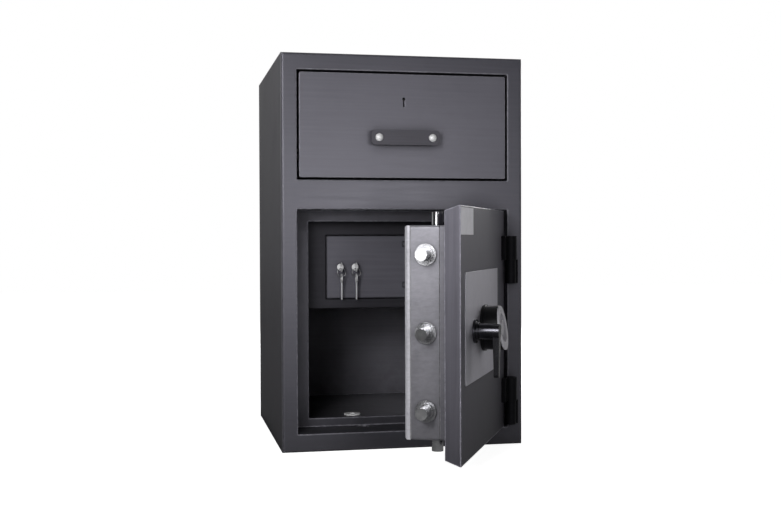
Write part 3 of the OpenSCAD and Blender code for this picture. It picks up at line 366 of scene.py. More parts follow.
    def _scratch(self, graph: Graph, given: Inputs) -> Socket:
        """Mask of thin straight scratches in two directions.

        Args:
            graph: the group's graph.
            given: the group's inputs.

        Returns:
            The mask.
        """
        lines = []
        for angle, stretch in self.SCRATCH_TURN_AND_STRETCH:
            lay = graph.add("Mapping", {"Vector": graph.coordinate(), "Scale": (1.0, stretch, stretch),
                                        "Rotation": (angle, angle * self.SCRATCH_TILT, angle)})
            cells = graph.add("TexVoronoi", {"Vector": lay.outputs[0], "Scale": given["Scale"]},
                              feature="DISTANCE_TO_EDGE")
            lines.append(graph.spread(cells.outputs["Distance"], self.SCRATCH_WIDTH, 0.0))
        patches = graph.spread(graph.noise(*self.SCRATCH_CLOUD), *self.SCRATCH_BAND)
        return graph.masked(graph.calc("MAXIMUM", *lines), patches, given["Amount"])

    def _drawn(self, graph: Graph, given: Inputs) -> Socket:
        """Height of lines that turning, grinding or rolling leaves along X of the given place.

        Args:
            graph: the group's graph.
            given: the group's inputs.

        Returns:
            The height.
        """
        scale = graph.add("CombineXYZ", {0: given["Along"], 1: given["Across"], 2: given["Across"]})
        inputs = {0: given["Place"], 1: scale.outputs[0]}
        laid = graph.add("VectorMath", inputs, operation="MULTIPLY").outputs[0]
        x, y, z = graph.add("SeparateXYZ", {0: laid}).outputs
        slide = graph.calc("MULTIPLY", graph.calc("ADD", y, z), self.DRAWN_SHEAR)
        sheared = graph.add("CombineXYZ", {0: graph.calc("ADD", x, slide), 1: y, 2: z}).outputs[0]
        return graph.noise(*self.DRAWN_CLOUD, sheared)

    def _smudge(self, graph: Graph, given: Inputs) -> Socket:
        """Mask of faint greasy marks from hands.

        Args:
            graph: the group's graph.
            given: the group's inputs.

        Returns:
            The mask.
        """
        bend = graph.noise(*self.SMUDGE_BEND_CLOUD, output="Color")
        inputs = {0: (self.SMUDGE_BEND,) * 3, 1: bend, 2: graph.coordinate()}
        moved = graph.add("VectorMath", inputs, operation="MULTIPLY_ADD").outputs[0]
        cloud = graph.noise(given["Scale"], *self.SMUDGE_LAYERS, moved)
        return graph.calc("MULTIPLY", graph.spread(cloud, *self.SMUDGE_BAND), given["Amount"])

    def _grime(self, graph: Graph, given: Inputs) -> Socket:
        """Mask of painted shade in corners, gaps and recesses: ambient occlusion broken up by noise.

        Args:
            graph: the group's graph.
            given: the group's inputs.

        Returns:
            The mask.
        """
        sky = graph.add("AmbientOcclusion", {"Distance": given["Reach"]}, samples=self.CORNER_SAMPLES)
        corners = graph.spread(sky.outputs["AO"], *self.CORNER_BAND)
        patches = graph.spread(graph.noise(*self.GRIME_CLOUD), *self.GRIME_BAND, self.GRIME_LEAST, 1.0)
        return graph.masked(corners, patches, given["Amount"])


SHOP = EffectShop()


def open_material(name: str) -> tuple[bpy.types.Material, Graph, bpy.types.Node]:
    """Starts a material with a Principled shader joined to its output.

    Args:
        name: the material's name.

    Returns:
        The material, its graph and the Principled node.
    """
    material = bpy.data.materials.new(name)
    material.use_nodes = True
    graph = Graph(material.node_tree)
    shader = graph.add("BsdfPrincipled")
    graph.add("OutputMaterial", {0: shader.outputs[0]})
    return material, graph, shader


class Lay(Enum):
    """Which way the lines of a surface run, as a turn of the object's own place."""

    ALONG_X = (0.0, 0.0, 0.0)
    ALONG_Z = (0.0, math.pi / 2, 0.0)
    ALONG_DOOR = (0.0, 0.0, -DOOR_ANGLE)


def worked_lines(graph: Graph, lay: Lay, along: float, across: float) -> Socket:
    """Places the lines that rubbing, rolling or grinding left.

    Args:
        graph: the material's graph.
        lay: which way they run.
        along: how often they change along their length, per metre.
        across: how many there are across, per metre.

    Returns:
        Their height, from 0 to 1.
    """
    turned = graph.add("Mapping", {"Vector": graph.coordinate(), "Rotation": lay.value}).outputs[0]
    return SHOP.place(graph, Effect.DRAWN, Along=along, Across=across, Place=turned)


@dataclass(frozen=True)
class PaintFinish:
    """Sprayed and baked paint on sheet steel, rubbed satin and darker towards its foot.

    Scales are per metre, and a tint multiplies the shade. Darkening towards the foot is painted shade: a foot
    below 1 is what remains of the shade at the low end of its axis, and its reach is the part of the piece
    that it fades over.
    """

    name: str
    shade: Color
    rough: float = 0.42
    rough_swing: float = 0.015
    specular: float = 0.5
    specular_tint: Color = (0.90, 0.885, 1.0)
    metallic: float = 0.0
    lay: Lay = Lay.ALONG_X
    lines_along: float = 5.0
    lines_across: float = 170.0
    streak: float = 0.10
    streak_band: Band = (0.35, 0.65)
    streak_tint: float = 1.9
    streak_lift: float = 0.01
    streak_rough: tuple[float, ...] = (0.3, 0.7, -0.02, 0.04)
    drift: float = 0.12
    drift_scale: float = 5.0
    dust: float = 0.08
    dust_shade: Color = (0.34, 0.33, 0.32)
    dust_rough: float = 0.3
    scratch: float = 0.10
    scratch_scale: float = 9.0
    scratch_tint: float = 1.7
    grime: float = 0.75
    grime_mm: float = 30.0
    grime_tint: float = 0.12
    grime_rough: float = 0.35
    foot: float = 1.0
    foot_reach: float = 1.0
    foot_axis: str = "Z"
    wear: float = 0.30
    rim: float = 3.6
    rim_lift: float = 0.12
    smudge: float = 0.02
    smudge_scale: float = 8.0
    peel_scale: float = 420.0
    peel_strength: float = 0.05
    peel_mm: float = 0.6
    round_mm: float = 1.2

    def tint(self, factor: float, lift: float = 0.0) -> Color:
        """Gives the paint's colour made lighter or darker."""
        return tuple(min(1.0, c * factor + lift) for c in self.shade)

    def build(self) -> bpy.types.Material:
        """Makes the material.

        Returns:
            The new material.
        """
        material, graph, shader = open_material(self.name)
        lines = worked_lines(graph, self.lay, self.lines_along, self.lines_across)
        drift = SHOP.place(graph, Effect.DRIFT, Scale=self.drift_scale)
        dust = SHOP.place(graph, Effect.DUST, Amount=self.dust)
        marks = SHOP.place(graph, Effect.SCRATCH, Scale=self.scratch_scale, Amount=self.scratch)
        grime = SHOP.place(graph, Effect.GRIME, Reach=self.grime_mm * MM, Amount=self.grime)
        wear = SHOP.place(graph, Effect.WEAR, Radius=self.round_mm * MM, Amount=self.wear)
        height = graph.add("SeparateXYZ", {0: graph.coordinate("Generated")}).outputs[self.foot_axis]
        paint = graph.blend(drift, self.tint(1 - self.drift), self.tint(1 + self.drift))
        rubbed = graph.spread(lines, *self.streak_band, 0.0, self.streak * 2)
        paint = graph.blend(rubbed, paint, self.tint(self.streak_tint, self.streak_lift))
        paint = graph.blend(dust, paint, self.dust_shade)
        paint = graph.blend(marks, paint, self.tint(self.scratch_tint))
        # Painted shade: the paint darkens in corners, gaps and recesses, where shade falls.
        paint = graph.blend(grime, paint, self.tint(self.grime_tint))
        # Painted shade: the paint darkens towards the low end of its axis, as if light fell off there.
        paint = graph.blend(graph.spread(height, 0.0, self.foot_reach, 1.0 - self.foot, 0.0), paint, BLACK)
        # Edges take the rim tint, partly as wear and partly as painted light: a tint above 1 paints a
        # highlight on the edge, and one below 1 darkens it.
        paint = graph.blend(wear, paint, self.tint(self.rim, self.rim_lift))
        graph.join(paint, shader.inputs["Base Color"])
        smudge = SHOP.place(graph, Effect.SMUDGE, Scale=self.smudge_scale, Amount=self.smudge)
        swing = graph.spread(drift, 0.0, 1.0, self.rough - self.rough_swing, self.rough + self.rough_swing)
        rough = graph.calc("ADD", swing, smudge)
        rough = graph.calc("ADD", rough, graph.calc("MULTIPLY", grime, self.grime_rough))
        rough = graph.calc("ADD", rough, graph.spread(lines, *self.streak_rough))
        rough = graph.calc("ADD", rough, graph.calc("MULTIPLY", dust, self.dust_rough), True)
        graph.join(rough, shader.inputs["Roughness"])
        peel = SHOP.place(graph, Effect.PEEL, Scale=self.peel_scale)
        soft = SHOP.place(graph, Effect.ROUND_EDGE, Radius=self.round_mm * MM)
        bump = graph.add("Bump", {"Height": peel, "Strength": self.peel_strength,
                                  "Distance": self.peel_mm * MM, "Normal": soft})
        graph.join(bump.outputs[0], shader.inputs["Normal"])
        shader.inputs["Metallic"].default_value = self.metallic
        shader.inputs["Specular IOR Level"].default_value = self.specular
        shader.inputs["Specular Tint"].default_value = (*self.specular_tint, 1.0)
        return material


@dataclass(frozen=True)
class MetalFinish:
    """Bare or plated metal with worked lines, smudges and scratches."""

    name: str
    shade: Color
    rough: float = 0.25
    metallic: float = 1.0
    lay: Lay = Lay.ALONG_X
    lines_along: float = 25.0
    lines_across: float = 2600.0
    line_band: Band = (0.3, 0.7)
    line_dark: float = 0.10
    line_rough: Band = (0.8, 1.25)
    line_strength: float = 0.08
    line_mm: float = 0.2
    tarnish: float = 0.2
    tarnish_scale: float = 30.0
    tarnish_shade: Color = (0.30, 0.28, 0.26)
    smudge: float = 0.14
    smudge_scale: float = 35.0
    scratch: float = 0.3
    scratch_scale: float = 16.0
    scratch_rough: float = 0.25
    scratch_cut: float = 0.3
    scratch_mm: float = 0.1
    round_mm: float = 0.5

    def build(self) -> bpy.types.Material:
        """Makes the material.

        Returns:
            The new material.
        """
        material, graph, shader = open_material(self.name)
        shader.inputs["Metallic"].default_value = self.metallic
        lines = worked_lines(graph, self.lay, self.lines_along, self.lines_across)
        drift = SHOP.place(graph, Effect.DRIFT, Scale=self.tarnish_scale)
        metal = graph.blend(graph.calc("MULTIPLY", drift, self.tarnish, True), self.shade, self.tarnish_shade)
        metal = graph.blend(graph.spread(lines, *self.line_band, self.line_dark, 0.0), metal, BLACK)
        graph.join(metal, shader.inputs["Base Color"])
        smudge = SHOP.place(graph, Effect.SMUDGE, Scale=self.smudge_scale, Amount=self.smudge)
        marks = SHOP.place(graph, Effect.SCRATCH, Scale=self.scratch_scale, Amount=self.scratch)
        rough = graph.spread(lines, *self.line_band, *(self.rough * factor for factor in self.line_rough))
        rough = graph.calc("ADD", rough, smudge)
        rough = graph.calc("ADD", rough, graph.calc("MULTIPLY", marks, self.scratch_rough), True)
        graph.join(rough, shader.inputs["Roughness"])
        soft = SHOP.place(graph, Effect.ROUND_EDGE, Radius=self.round_mm * MM)
        bump = graph.add("Bump", {"Height": lines, "Strength": self.line_strength,
                                  "Distance": self.line_mm * MM, "Normal": soft})
        cut = graph.add("Bump", {"Height": marks, "Strength": self.scratch * self.scratch_cut,
                                 "Distance": self.scratch_mm * MM, "Normal": bump.outputs[0]}, invert=True)
        graph.join(cut.outputs[0], shader.inputs["Normal"])
        return material


@dataclass(frozen=True)
class MouldedFinish:
    """Moulded plastic, paper, zinc bloom, ink or cast mineral."""

    name: str
    shade: Color
    rough: float = 0.4
    rough_swing: Band = (-0.03, 0.04)
    specular: float = 0.5
    grain_scale: float = 900.0
    grain_strength: float = 0.1
    grain_mm: float = 0.3
    drift: float = 0.06
    drift_scale: float = 40.0
    dust: float = 0.12
    dust_shade: Color = (0.40, 0.39, 0.38)
    smudge: float = 0.12
    smudge_scale: float = 30.0
    round_mm: float = 0.5

    def build(self) -> bpy.types.Material:
        """Makes the material.

        Returns:
            The new material.
        """
        material, graph, shader = open_material(self.name)
        shader.inputs["Specular IOR Level"].default_value = self.specular
        drift = SHOP.place(graph, Effect.DRIFT, Scale=self.drift_scale)
        dark = tuple(c * (1 - self.drift) for c in self.shade)
        light = tuple(min(1.0, c * (1 + self.drift)) for c in self.shade)
        dust = SHOP.place(graph, Effect.DUST, Amount=self.dust)
        body = graph.blend(dust, graph.blend(drift, dark, light), self.dust_shade)
        graph.join(body, shader.inputs["Base Color"])
        smudge = SHOP.place(graph, Effect.SMUDGE, Scale=self.smudge_scale, Amount=self.smudge)
        swing = graph.spread(drift, 0.0, 1.0, *(self.rough + step for step in self.rough_swing))
        graph.join(graph.calc("ADD", swing, smudge, True), shader.inputs["Roughness"])
        grain = SHOP.place(graph, Effect.PEEL, Scale=self.grain_scale)
        soft = SHOP.place(graph, Effect.ROUND_EDGE, Radius=self.round_mm * MM)
        bump = graph.add("Bump", {"Height": grain, "Strength": self.grain_strength,
                                  "Distance": self.grain_mm * MM, "Normal": soft})
        graph.join(bump.outputs[0], shader.inputs["Normal"])
        return material


Finish = PaintFinish | MetalFinish | MouldedFinish

# Painted light in these paints: a foot below 1 darkens them towards the bottom as painted shade, the corner
# shade darkens their recesses, and the rim tint lightens their edges, partly as wear and partly as painted
# highlight.
SHELL_PAINT = PaintFinish("Charcoal shell paint", (0.062, 0.060, 0.072), rough=0.48, specular=0.12,
                          lay=Lay.ALONG_Z, streak=0.22, foot=0.45, wear=1.0, round_mm=3.5)
# Deep painted shade darkens the jamb of the door opening and the recesses, and the edges carry a painted
# highlight.
FRAME_PAINT = PaintFinish("Charcoal frame paint", (0.043, 0.042, 0.052), rough=0.36, specular=0.9,
                          streak=0.08, grime=0.95, grime_mm=85.0, foot=0.6, foot_reach=0.5, wear=1.0,
                          round_mm=4.5)
# The frame's charcoal paint made lighter: painted highlight on the drawer front.
LIT_DRAWER_PAINT = PaintFinish("Charcoal drawer paint lightened for painted highlight", (0.084, 0.082, 0.098), rough=0.37, specular=0.8,
                           streak=0.07, wear=0.8, round_mm=3.0)
TRAY_PAINT = PaintFinish("Grey tray paint", (0.16, 0.16, 0.17), rough=0.45, dust=0.15)
BAR_PAINT = PaintFinish("Black drawer bar paint", (0.055, 0.053, 0.062), rough=0.40, specular=0.35)
# Lighter than the frame's charcoal, partly as painted light on the door's edge face; it darkens towards the
# bottom as painted shade.
DOOR_PAINT = PaintFinish("Charcoal door paint", (0.128, 0.124, 0.147), rough=0.40, specular=0.20,
                         lay=Lay.ALONG_Z, foot=0.35, wear=1.0, rim_lift=0.08, round_mm=3.0)
CASE_PAINT = PaintFinish("Graphite bolt case paint", (0.26, 0.256, 0.282), rough=0.38, metallic=0.2,
                         streak=0.08, drift=0.3, scratch=0.25, foot=0.44, wear=0.35)
BASE_PAINT = PaintFinish("Dark bolt frame paint", (0.205, 0.201, 0.226), foot=0.4, wear=0.35)
COVER_PAINT = PaintFinish("Graphite cover paint", (0.44, 0.435, 0.47), rough=0.38, metallic=0.2)
# Painted light in the vault: it darkens towards its left as painted shadow of the jamb, deep corner shade
# darkens its corners, and its dust lightens the floor, partly as dust and partly as painted sheen.
INNER_PAINT = PaintFinish("Dark vault paint", (0.22, 0.215, 0.246), rough=0.30, specular=0.3, streak=0.06,
                          dust=0.3, grime=0.85, grime_mm=180.0, foot=0.02, foot_reach=0.8, foot_axis="X")
LOCKER_PAINT = PaintFinish("Dark locker paint", (0.026, 0.025, 0.030), rough=0.46, specular=0.3, wear=1.2,
                           rim=0.05, rim_lift=0.0, round_mm=3.0)
LOCKER_DOOR_PAINT = PaintFinish("Grey locker door paint", (0.105, 0.103, 0.122), streak=0.08, wear=2.0,
                                rim=0.03, rim_lift=0.0, round_mm=5.0)
HINGE_PAINT = PaintFinish("Black hinge paint", (0.005, 0.005, 0.006), rough=0.50, specular=0.1, dust=0.03,
                          wear=0.1)
# Its dark tarnish patches are partly tarnish and partly painted reflection of dark surroundings.
GROUND_STEEL = MetalFinish("Ground bolt steel", (0.82, 0.82, 0.84), rough=0.13, lay=Lay.ALONG_Z,
                           line_strength=0.02, tarnish=0.6, tarnish_shade=(0.08, 0.08, 0.09), scratch=0.15)
# Its dark tarnish patches are partly tarnish and partly painted reflection of dark surroundings.
COLLAR_STEEL = MetalFinish("Turned collar steel", (0.46, 0.46, 0.48), rough=0.24, lay=Lay.ALONG_Z,
                           line_strength=0.03, tarnish=0.6, tarnish_shade=(0.10, 0.10, 0.11))
ZINC = MetalFinish("Zinc-plated steel", (0.60, 0.60, 0.61), rough=0.34, lay=Lay.ALONG_Z, tarnish=0.3)
CHROME = MetalFinish("Bright chrome", (0.95, 0.95, 0.96), rough=0.5, metallic=0.3, line_strength=0.01,
                     tarnish=0.03, scratch=0.1)
DARK_CHROME = MetalFinish("Dark chrome", (0.06, 0.06, 0.068), rough=0.22, line_strength=0.02, tarnish=0.04,
                          scratch=0.12)
SHAFT_STEEL = MetalFinish("Bright shaft steel", (0.72, 0.72, 0.74), rough=0.16)
PLATE_SILVER = MetalFinish("Silver face plate", (0.67, 0.658, 0.72), rough=0.50, lay=Lay.ALONG_DOOR,
                           line_strength=0.02, tarnish=0.1, tarnish_shade=(0.34, 0.33, 0.36), scratch=0.08)
BRASS = MetalFinish("Machined brass", (0.70, 0.52, 0.25), rough=0.26, tarnish=0.25,
                    tarnish_shade=(0.32, 0.20, 0.09))
KEY_STEEL = MetalFinish("Nickel key", (0.95, 0.95, 0.96), rough=0.46, metallic=0.45, tarnish=0.05)
RING_STEEL = MetalFinish("Dark split ring", (0.32, 0.32, 0.34), rough=0.30)
ANCHOR_ZINC = MouldedFinish("Pale anchor zinc", (0.97, 0.97, 0.97), rough=0.25, specular=0.9, dust=0.0)
BLACK_PLASTIC = MouldedFinish("Gloss black dial shroud", (0.005, 0.005, 0.006), rough=0.30, specular=0.2,
                              dust=0.03)
BEZEL_GREY = MouldedFinish("Light grey bezel", (0.50, 0.49, 0.53), rough=0.36)
DIAL_GREY = MouldedFinish("Light grey dial", (0.50, 0.49, 0.52), rough=0.34)
DIAL_INK = MouldedFinish("Dial ink", (0.015, 0.015, 0.017), rough=0.5)
PAPER = MouldedFinish("Grey paper label", (0.87, 0.86, 0.91), rough=0.7, grain_scale=1500.0,
                      grain_strength=0.25)
MINERAL = MouldedFinish("Cast mineral fill", (0.36, 0.35, 0.32), rough=0.9, grain_scale=260.0,
                        grain_strength=0.9)


class Workshop:
    """Makes meshes, puts them in the scene and gives them their finish."""

    @staticmethod
    def material(finish: Finish) -> bpy.types.Material:
        """Gives a finish's material, built at its first use."""
        return bpy.data.materials.get(finish.name) or finish.build()

    @staticmethod
    def dress(finish: Finish, *names: str) -> None:
        """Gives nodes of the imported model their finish.

        Args:
            finish: what they are made of.
            names: the nodes.
        """
        for name in names:
            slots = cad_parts[name].data.materials
            slots.clear()
            slots.append(Workshop.material(finish))
        LOG.info("%s on %s", finish.name, ", ".join(names))

    @staticmethod
    def piece(name: str, body: str, build: Callable[[bmesh.types.BMesh], None], finish: Finish, slot: str,
              place: Matrix) -> None:
        """Makes one piece that rides on a body.

        Args:
            name: the piece's name.
            body: the body that it rides on.
            build: fills an empty mesh.
            finish: what it is made of.
            slot: not used.
            place: a move for the whole mesh.
        """
        mesh = bpy.data.meshes.new(name)
        shape = bmesh.new()
        build(shape)
        bmesh.ops.recalc_face_normals(shape, faces=shape.faces)
        shape.transform(place)
        shape.to_mesh(mesh)
        shape.free()
        mesh.materials.append(Workshop.material(finish))
        thing = bpy.data.objects.new(name, mesh)
        bpy.context.scene.collection.objects.link(thing)
        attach(thing, body)
        LOG.info("piece %s: %d faces", name, len(mesh.polygons))

    @staticmethod
    def slab(shape: bmesh.types.BMesh, low: Sequence[float], high: Sequence[float], turn: Matrix) -> None:
        """Adds a block between two corners.

        Args:
            shape: the mesh to add to.
            low: lowest corner.
            high: highest corner.
            turn: a move for the block.
        """
        made = bmesh.ops.create_cube(shape, size=1.0)
        size = Matrix.Diagonal([b - a for a, b in zip(low, high)]).to_4x4()
        middle = Matrix.Translation([(a + b) / 2 for a, b in zip(low, high)])
        bmesh.ops.transform(shape, matrix=turn @ middle @ size, verts=made["verts"])


@dataclass
class Cabinet:
    """The welded shell with its front frame, barrier fill, hinge halves and floor anchors."""

    shell: Finish = SHELL_PAINT
    front: Finish = FRAME_PAINT
    hinge: Finish = HINGE_PAINT

    def build(self) -> None:
        """Dresses the cabinet, whose solids already have their full shape."""
        Workshop.dress(self.shell, "outer_shell")
        Workshop.dress(self.front, "front_frame")
        Workshop.dress(self.hinge, "cabinet_knuckles", "door_knuckles", "hinge_pins", "locker_knuckles")
        Workshop.dress(MINERAL, "barrier_fill")
        Workshop.dress(ANCHOR_ZINC, "anchor_sleeves")


@dataclass
class VaultInterior:
    """The lined vault, the drop chute and the locker with its locks, keys and rings."""

    lining: Finish = INNER_PAINT
    locker: Finish = LOCKER_PAINT
    locker_front: Finish = LOCKER_DOOR_PAINT
    sides: tuple[str, str] = ("left", "right")

    def build(self) -> None:
        """Dresses the vault and the locker."""
        Workshop.dress(self.lining, "vault_liner", "drawer_chamber", "drop_chute")
        Workshop.dress(self.locker, "locker_case")
        Workshop.dress(self.locker_front, "locker_door")
        Workshop.dress(CHROME, "locker_lock_bodies", *(f"locker_plug_{side}" for side in self.sides))
        for side in self.sides:
            Workshop.dress(KEY_STEEL, f"locker_key_{side}", f"spare_key_{side}")
            Workshop.dress(RING_STEEL, f"key_ring_{side}")


@dataclass
class VaultDoor:
    """The door slab with its bolt case, cover, face plate and label."""

    slab: Finish = DOOR_PAINT
    case: Finish = CASE_PAINT
    base: Finish = BASE_PAINT
    cover: Finish = COVER_PAINT

    def build(self) -> None:
        """Dresses the door."""
        Workshop.dress(self.slab, "door_slab")
        Workshop.dress(self.case, "bolt_case")
        Workshop.dress(self.base, "bolt_base_frame")
        Workshop.dress(self.cover, "bolt_cover")
        Workshop.dress(ZINC, "cover_screws")
        Workshop.dress(PLATE_SILVER, "face_plate")
        Workshop.dress(PAPER, "paper_label")


@dataclass
class BoltWork:
    """Bolts, collars, carriages and the crank that drives them."""

    bolts: Finish = GROUND_STEEL
    collars: Finish = COLLAR_STEEL

    def build(self) -> None:
        """Dresses the bolt work."""
        Workshop.dress(self.bolts, "side_bolts", "top_bolt", "bottom_bolt")
        Workshop.dress(self.collars, "bolt_collars")
        Workshop.dress(ZINC, "side_carriage", "side_bolt_nuts", "top_bolt_bar", "bottom_bolt_bar",
                       "crank_disc")


@dataclass
class CombinationLock:
    """The lock's case, bolt and wheel pack."""

    wheels: int = 3

    def build(self) -> None:
        """Dresses the lock."""
        Workshop.dress(ZINC, "lock_case", "lock_cover")
        wheels = (f"lock_wheel_{number}" for number in range(1, self.wheels + 1))
        Workshop.dress(BRASS, "lock_bolt", "drive_cam", *wheels)
        Workshop.dress(SHAFT_STEEL, "dial_spindle")


@dataclass
class HandleAndDial:
    """The lever, and the dial in its shroud with graduations, numbers and an index mark.

    Depths are along Y from the front plane while the door is shut, and all else is measured from the dial's
    axis.
    """

    face_y: float = -30.0 * MM
    proud: float = 0.12 * MM
    rim: float = 26.6 * MM
    count: int = 100
    middle_step: int = 5
    long_step: int = 10
    numeral: float = 4.4 * MM
    numeral_ring: float = 19.0 * MM
    tick_lengths: tuple[float, float, float] = (1.8 * MM, 2.8 * MM, 4.0 * MM)
    tick_widths: tuple[float, float, float] = (0.24 * MM, 0.30 * MM, 0.44 * MM)
    bezel_y: float = -39.0 * MM
    bezel_slant: float = math.radians(-8.5)
    index_low: float = 28.4 * MM
    index_high: float = 33.5 * MM
    index_half: float = 1.5 * MM
    funnel_inner: float = 27.2 * MM
    funnel_outer: float = 28.0 * MM
    funnel_front: float = -37.2 * MM
    funnel_back: float = -28.0 * MM
    funnel_steps: int = 96

    def spoke(self, index: int) -> Matrix:
        """Gives the turn of one graduation about the dial's axis.

        Args:
            index: which graduation.

        Returns:
            A matrix that takes the top of the dial to that place.
        """
        centre = Matrix.Translation((DIAL_X, 0, AXIS_Z))
        return centre @ Matrix.Rotation(-2 * math.pi * index / self.count, 4, "Y")

    def ticks(self, shape: bmesh.types.BMesh) -> None:
        """Fills a mesh with the graduations.

        Args:
            shape: the mesh to fill.
        """
        for index in range(self.count):
            rank = int(index % self.middle_step == 0) + int(index % self.long_step == 0)
            half = self.tick_widths[rank] / 2
            low = (-half, self.face_y - self.proud, self.rim - self.tick_lengths[rank])
            Workshop.slab(shape, low, (half, self.face_y, self.rim), self.spoke(index))

    def numbers(self, shape: bmesh.types.BMesh) -> None:
        """Fills a mesh with the number at every long graduation.

        Args:
            shape: the mesh to fill.
        """
        stand = Matrix.Rotation(math.pi / 2, 4, "X")
        lift = Matrix.Translation((0, self.face_y - self.proud / 2, self.numeral_ring))
        for index in range(0, self.count, self.long_step):
            curve = bpy.data.curves.new(f"numeral_{index}", "FONT")
            curve.body = str(index)
            curve.size = self.numeral
            curve.align_x = "CENTER"
            curve.align_y = "CENTER"
            curve.extrude = self.proud / 2
            word = bpy.data.objects.new(f"numeral_{index}", curve)
            bpy.context.scene.collection.objects.link(word)
            bpy.context.view_layer.update()
            mesh = bpy.data.meshes.new_from_object(word.evaluated_get(bpy.context.evaluated_depsgraph_get()))
            mesh.transform(self.spoke(index) @ lift @ stand)
            shape.from_mesh(mesh)
            bpy.data.meshes.remove(mesh)
            bpy.data.objects.remove(word)
            bpy.data.curves.remove(curve)

    def index_mark(self, shape: bmesh.types.BMesh) -> None:
        """Fills a mesh with the pointer above the dial, which lies on the slanted bezel.

        Args:
            shape: the mesh to fill.
        """
        face = Matrix.Translation((DIAL_X, self.bezel_y, AXIS_Z)) @ Matrix.Rotation(self.bezel_slant, 4, "X")
        outline = ((0.0, self.index_low), (self.index_half, self.index_high),
                   (-self.index_half, self.index_high))
        front = [shape.verts.new(face @ Vector((x, -self.proud, z))) for x, z in outline]
        back = [shape.verts.new(face @ Vector((x, 0.0, z))) for x, z in outline]
        shape.faces.new(front)
        shape.faces.new(back[::-1])
        for here in range(len(outline)):
            after = (here + 1) % len(outline)
            shape.faces.new((front[after], front[here], back[here], back[after]))

    def funnel(self, shape: bmesh.types.BMesh) -> None:
        """Fills a mesh with the light wall that runs from the bezel's hole down to the dial.

        Args:
            shape: the mesh to fill.
        """
        lean = math.tan(-self.bezel_slant)
        rings = []
        for radius, depth, leans in ((self.funnel_inner, self.funnel_front, True),
                                     (self.funnel_outer, self.funnel_front, True),
                                     (self.funnel_outer, self.funnel_back, False),
                                     (self.funnel_inner, self.funnel_back, False)):
            ring = []
            for step in range(self.funnel_steps):
                angle = 2 * math.pi * step / self.funnel_steps
                rise = radius * math.cos(angle)
                y = depth + (rise * lean if leans else 0.0)
                ring.append(shape.verts.new((DIAL_X + radius * math.sin(angle), y, AXIS_Z + rise)))
            rings.append(ring)
        for first, second in zip(rings, rings[1:] + rings[:1]):
            for step in range(self.funnel_steps):
                after = (step + 1) % self.funnel_steps
                shape.faces.new((first[step], first[after], second[after], second[step]))

    def build(self) -> None:
        """Makes the marks of dial and bezel, and dresses dial, shroud and lever."""
        Workshop.dress(DARK_CHROME, "handle_lever", "handle_rose")
        Workshop.dress(SHAFT_STEEL, "handle_spindle")
        Workshop.dress(BLACK_PLASTIC, "dial_shroud")
        Workshop.dress(BEZEL_GREY, "dial_bezel")
        Workshop.dress(DIAL_GREY, "dial")
        place = door_matrix()
        Workshop.piece("dial_ticks", "dial_body", self.ticks, DIAL_INK, "black_plastic", place)
        Workshop.piece("dial_numbers", "dial_body", self.numbers, DIAL_INK, "black_plastic", place)
        Workshop.piece("dial_funnel", "vault_door", self.funnel, BEZEL_GREY, "grey_dial", place)
        Workshop.piece("bezel_index", "vault_door", self.index_mark, DIAL_INK, "black_plastic", place)


@dataclass
class Drawer:
    """The drop drawer with its bar, lock and runners."""

    front: Finish = LIT_DRAWER_PAINT
    tray: Finish = TRAY_PAINT
    bar: Finish = BAR_PAINT

    def build(self) -> None:
        """Dresses the drawer."""
        Workshop.dress(self.front, "drawer_front")
        Workshop.dress(self.tray, "drawer_tray")
        Workshop.dress(self.bar, "drawer_bar", "drawer_bar_posts")
        Workshop.dress(CHROME, "drawer_bar_screws")
        Workshop.dress(ZINC, "drawer_runners", "drawer_lock_case")
        Workshop.dress(BRASS, "drawer_lock_bolt")


@dataclass(frozen=True)
class Lamp:
    """One soft area lamp, in metres and watts."""

    name: str
    place: Point
    target: Point
    width: float
    height: float
    power: float

    def build(self) -> None:
        """Puts the lamp in the scene."""
        data = bpy.data.lights.new(self.name, "AREA")
        data.shape = "RECTANGLE"
        data.size = self.width
        data.size_y = self.height
        data.energy = self.power
        lamp = bpy.data.objects.new(self.name, data)
        bpy.context.scene.collection.objects.link(lamp)
        aim = Vector(self.target) - Vector(self.place)
        lamp.rotation_mode = "QUATERNION"
        lamp.rotation_quaternion = aim.to_track_quat("-Z", "Y")
        lamp.location = self.place
        lamp.visible_camera = False


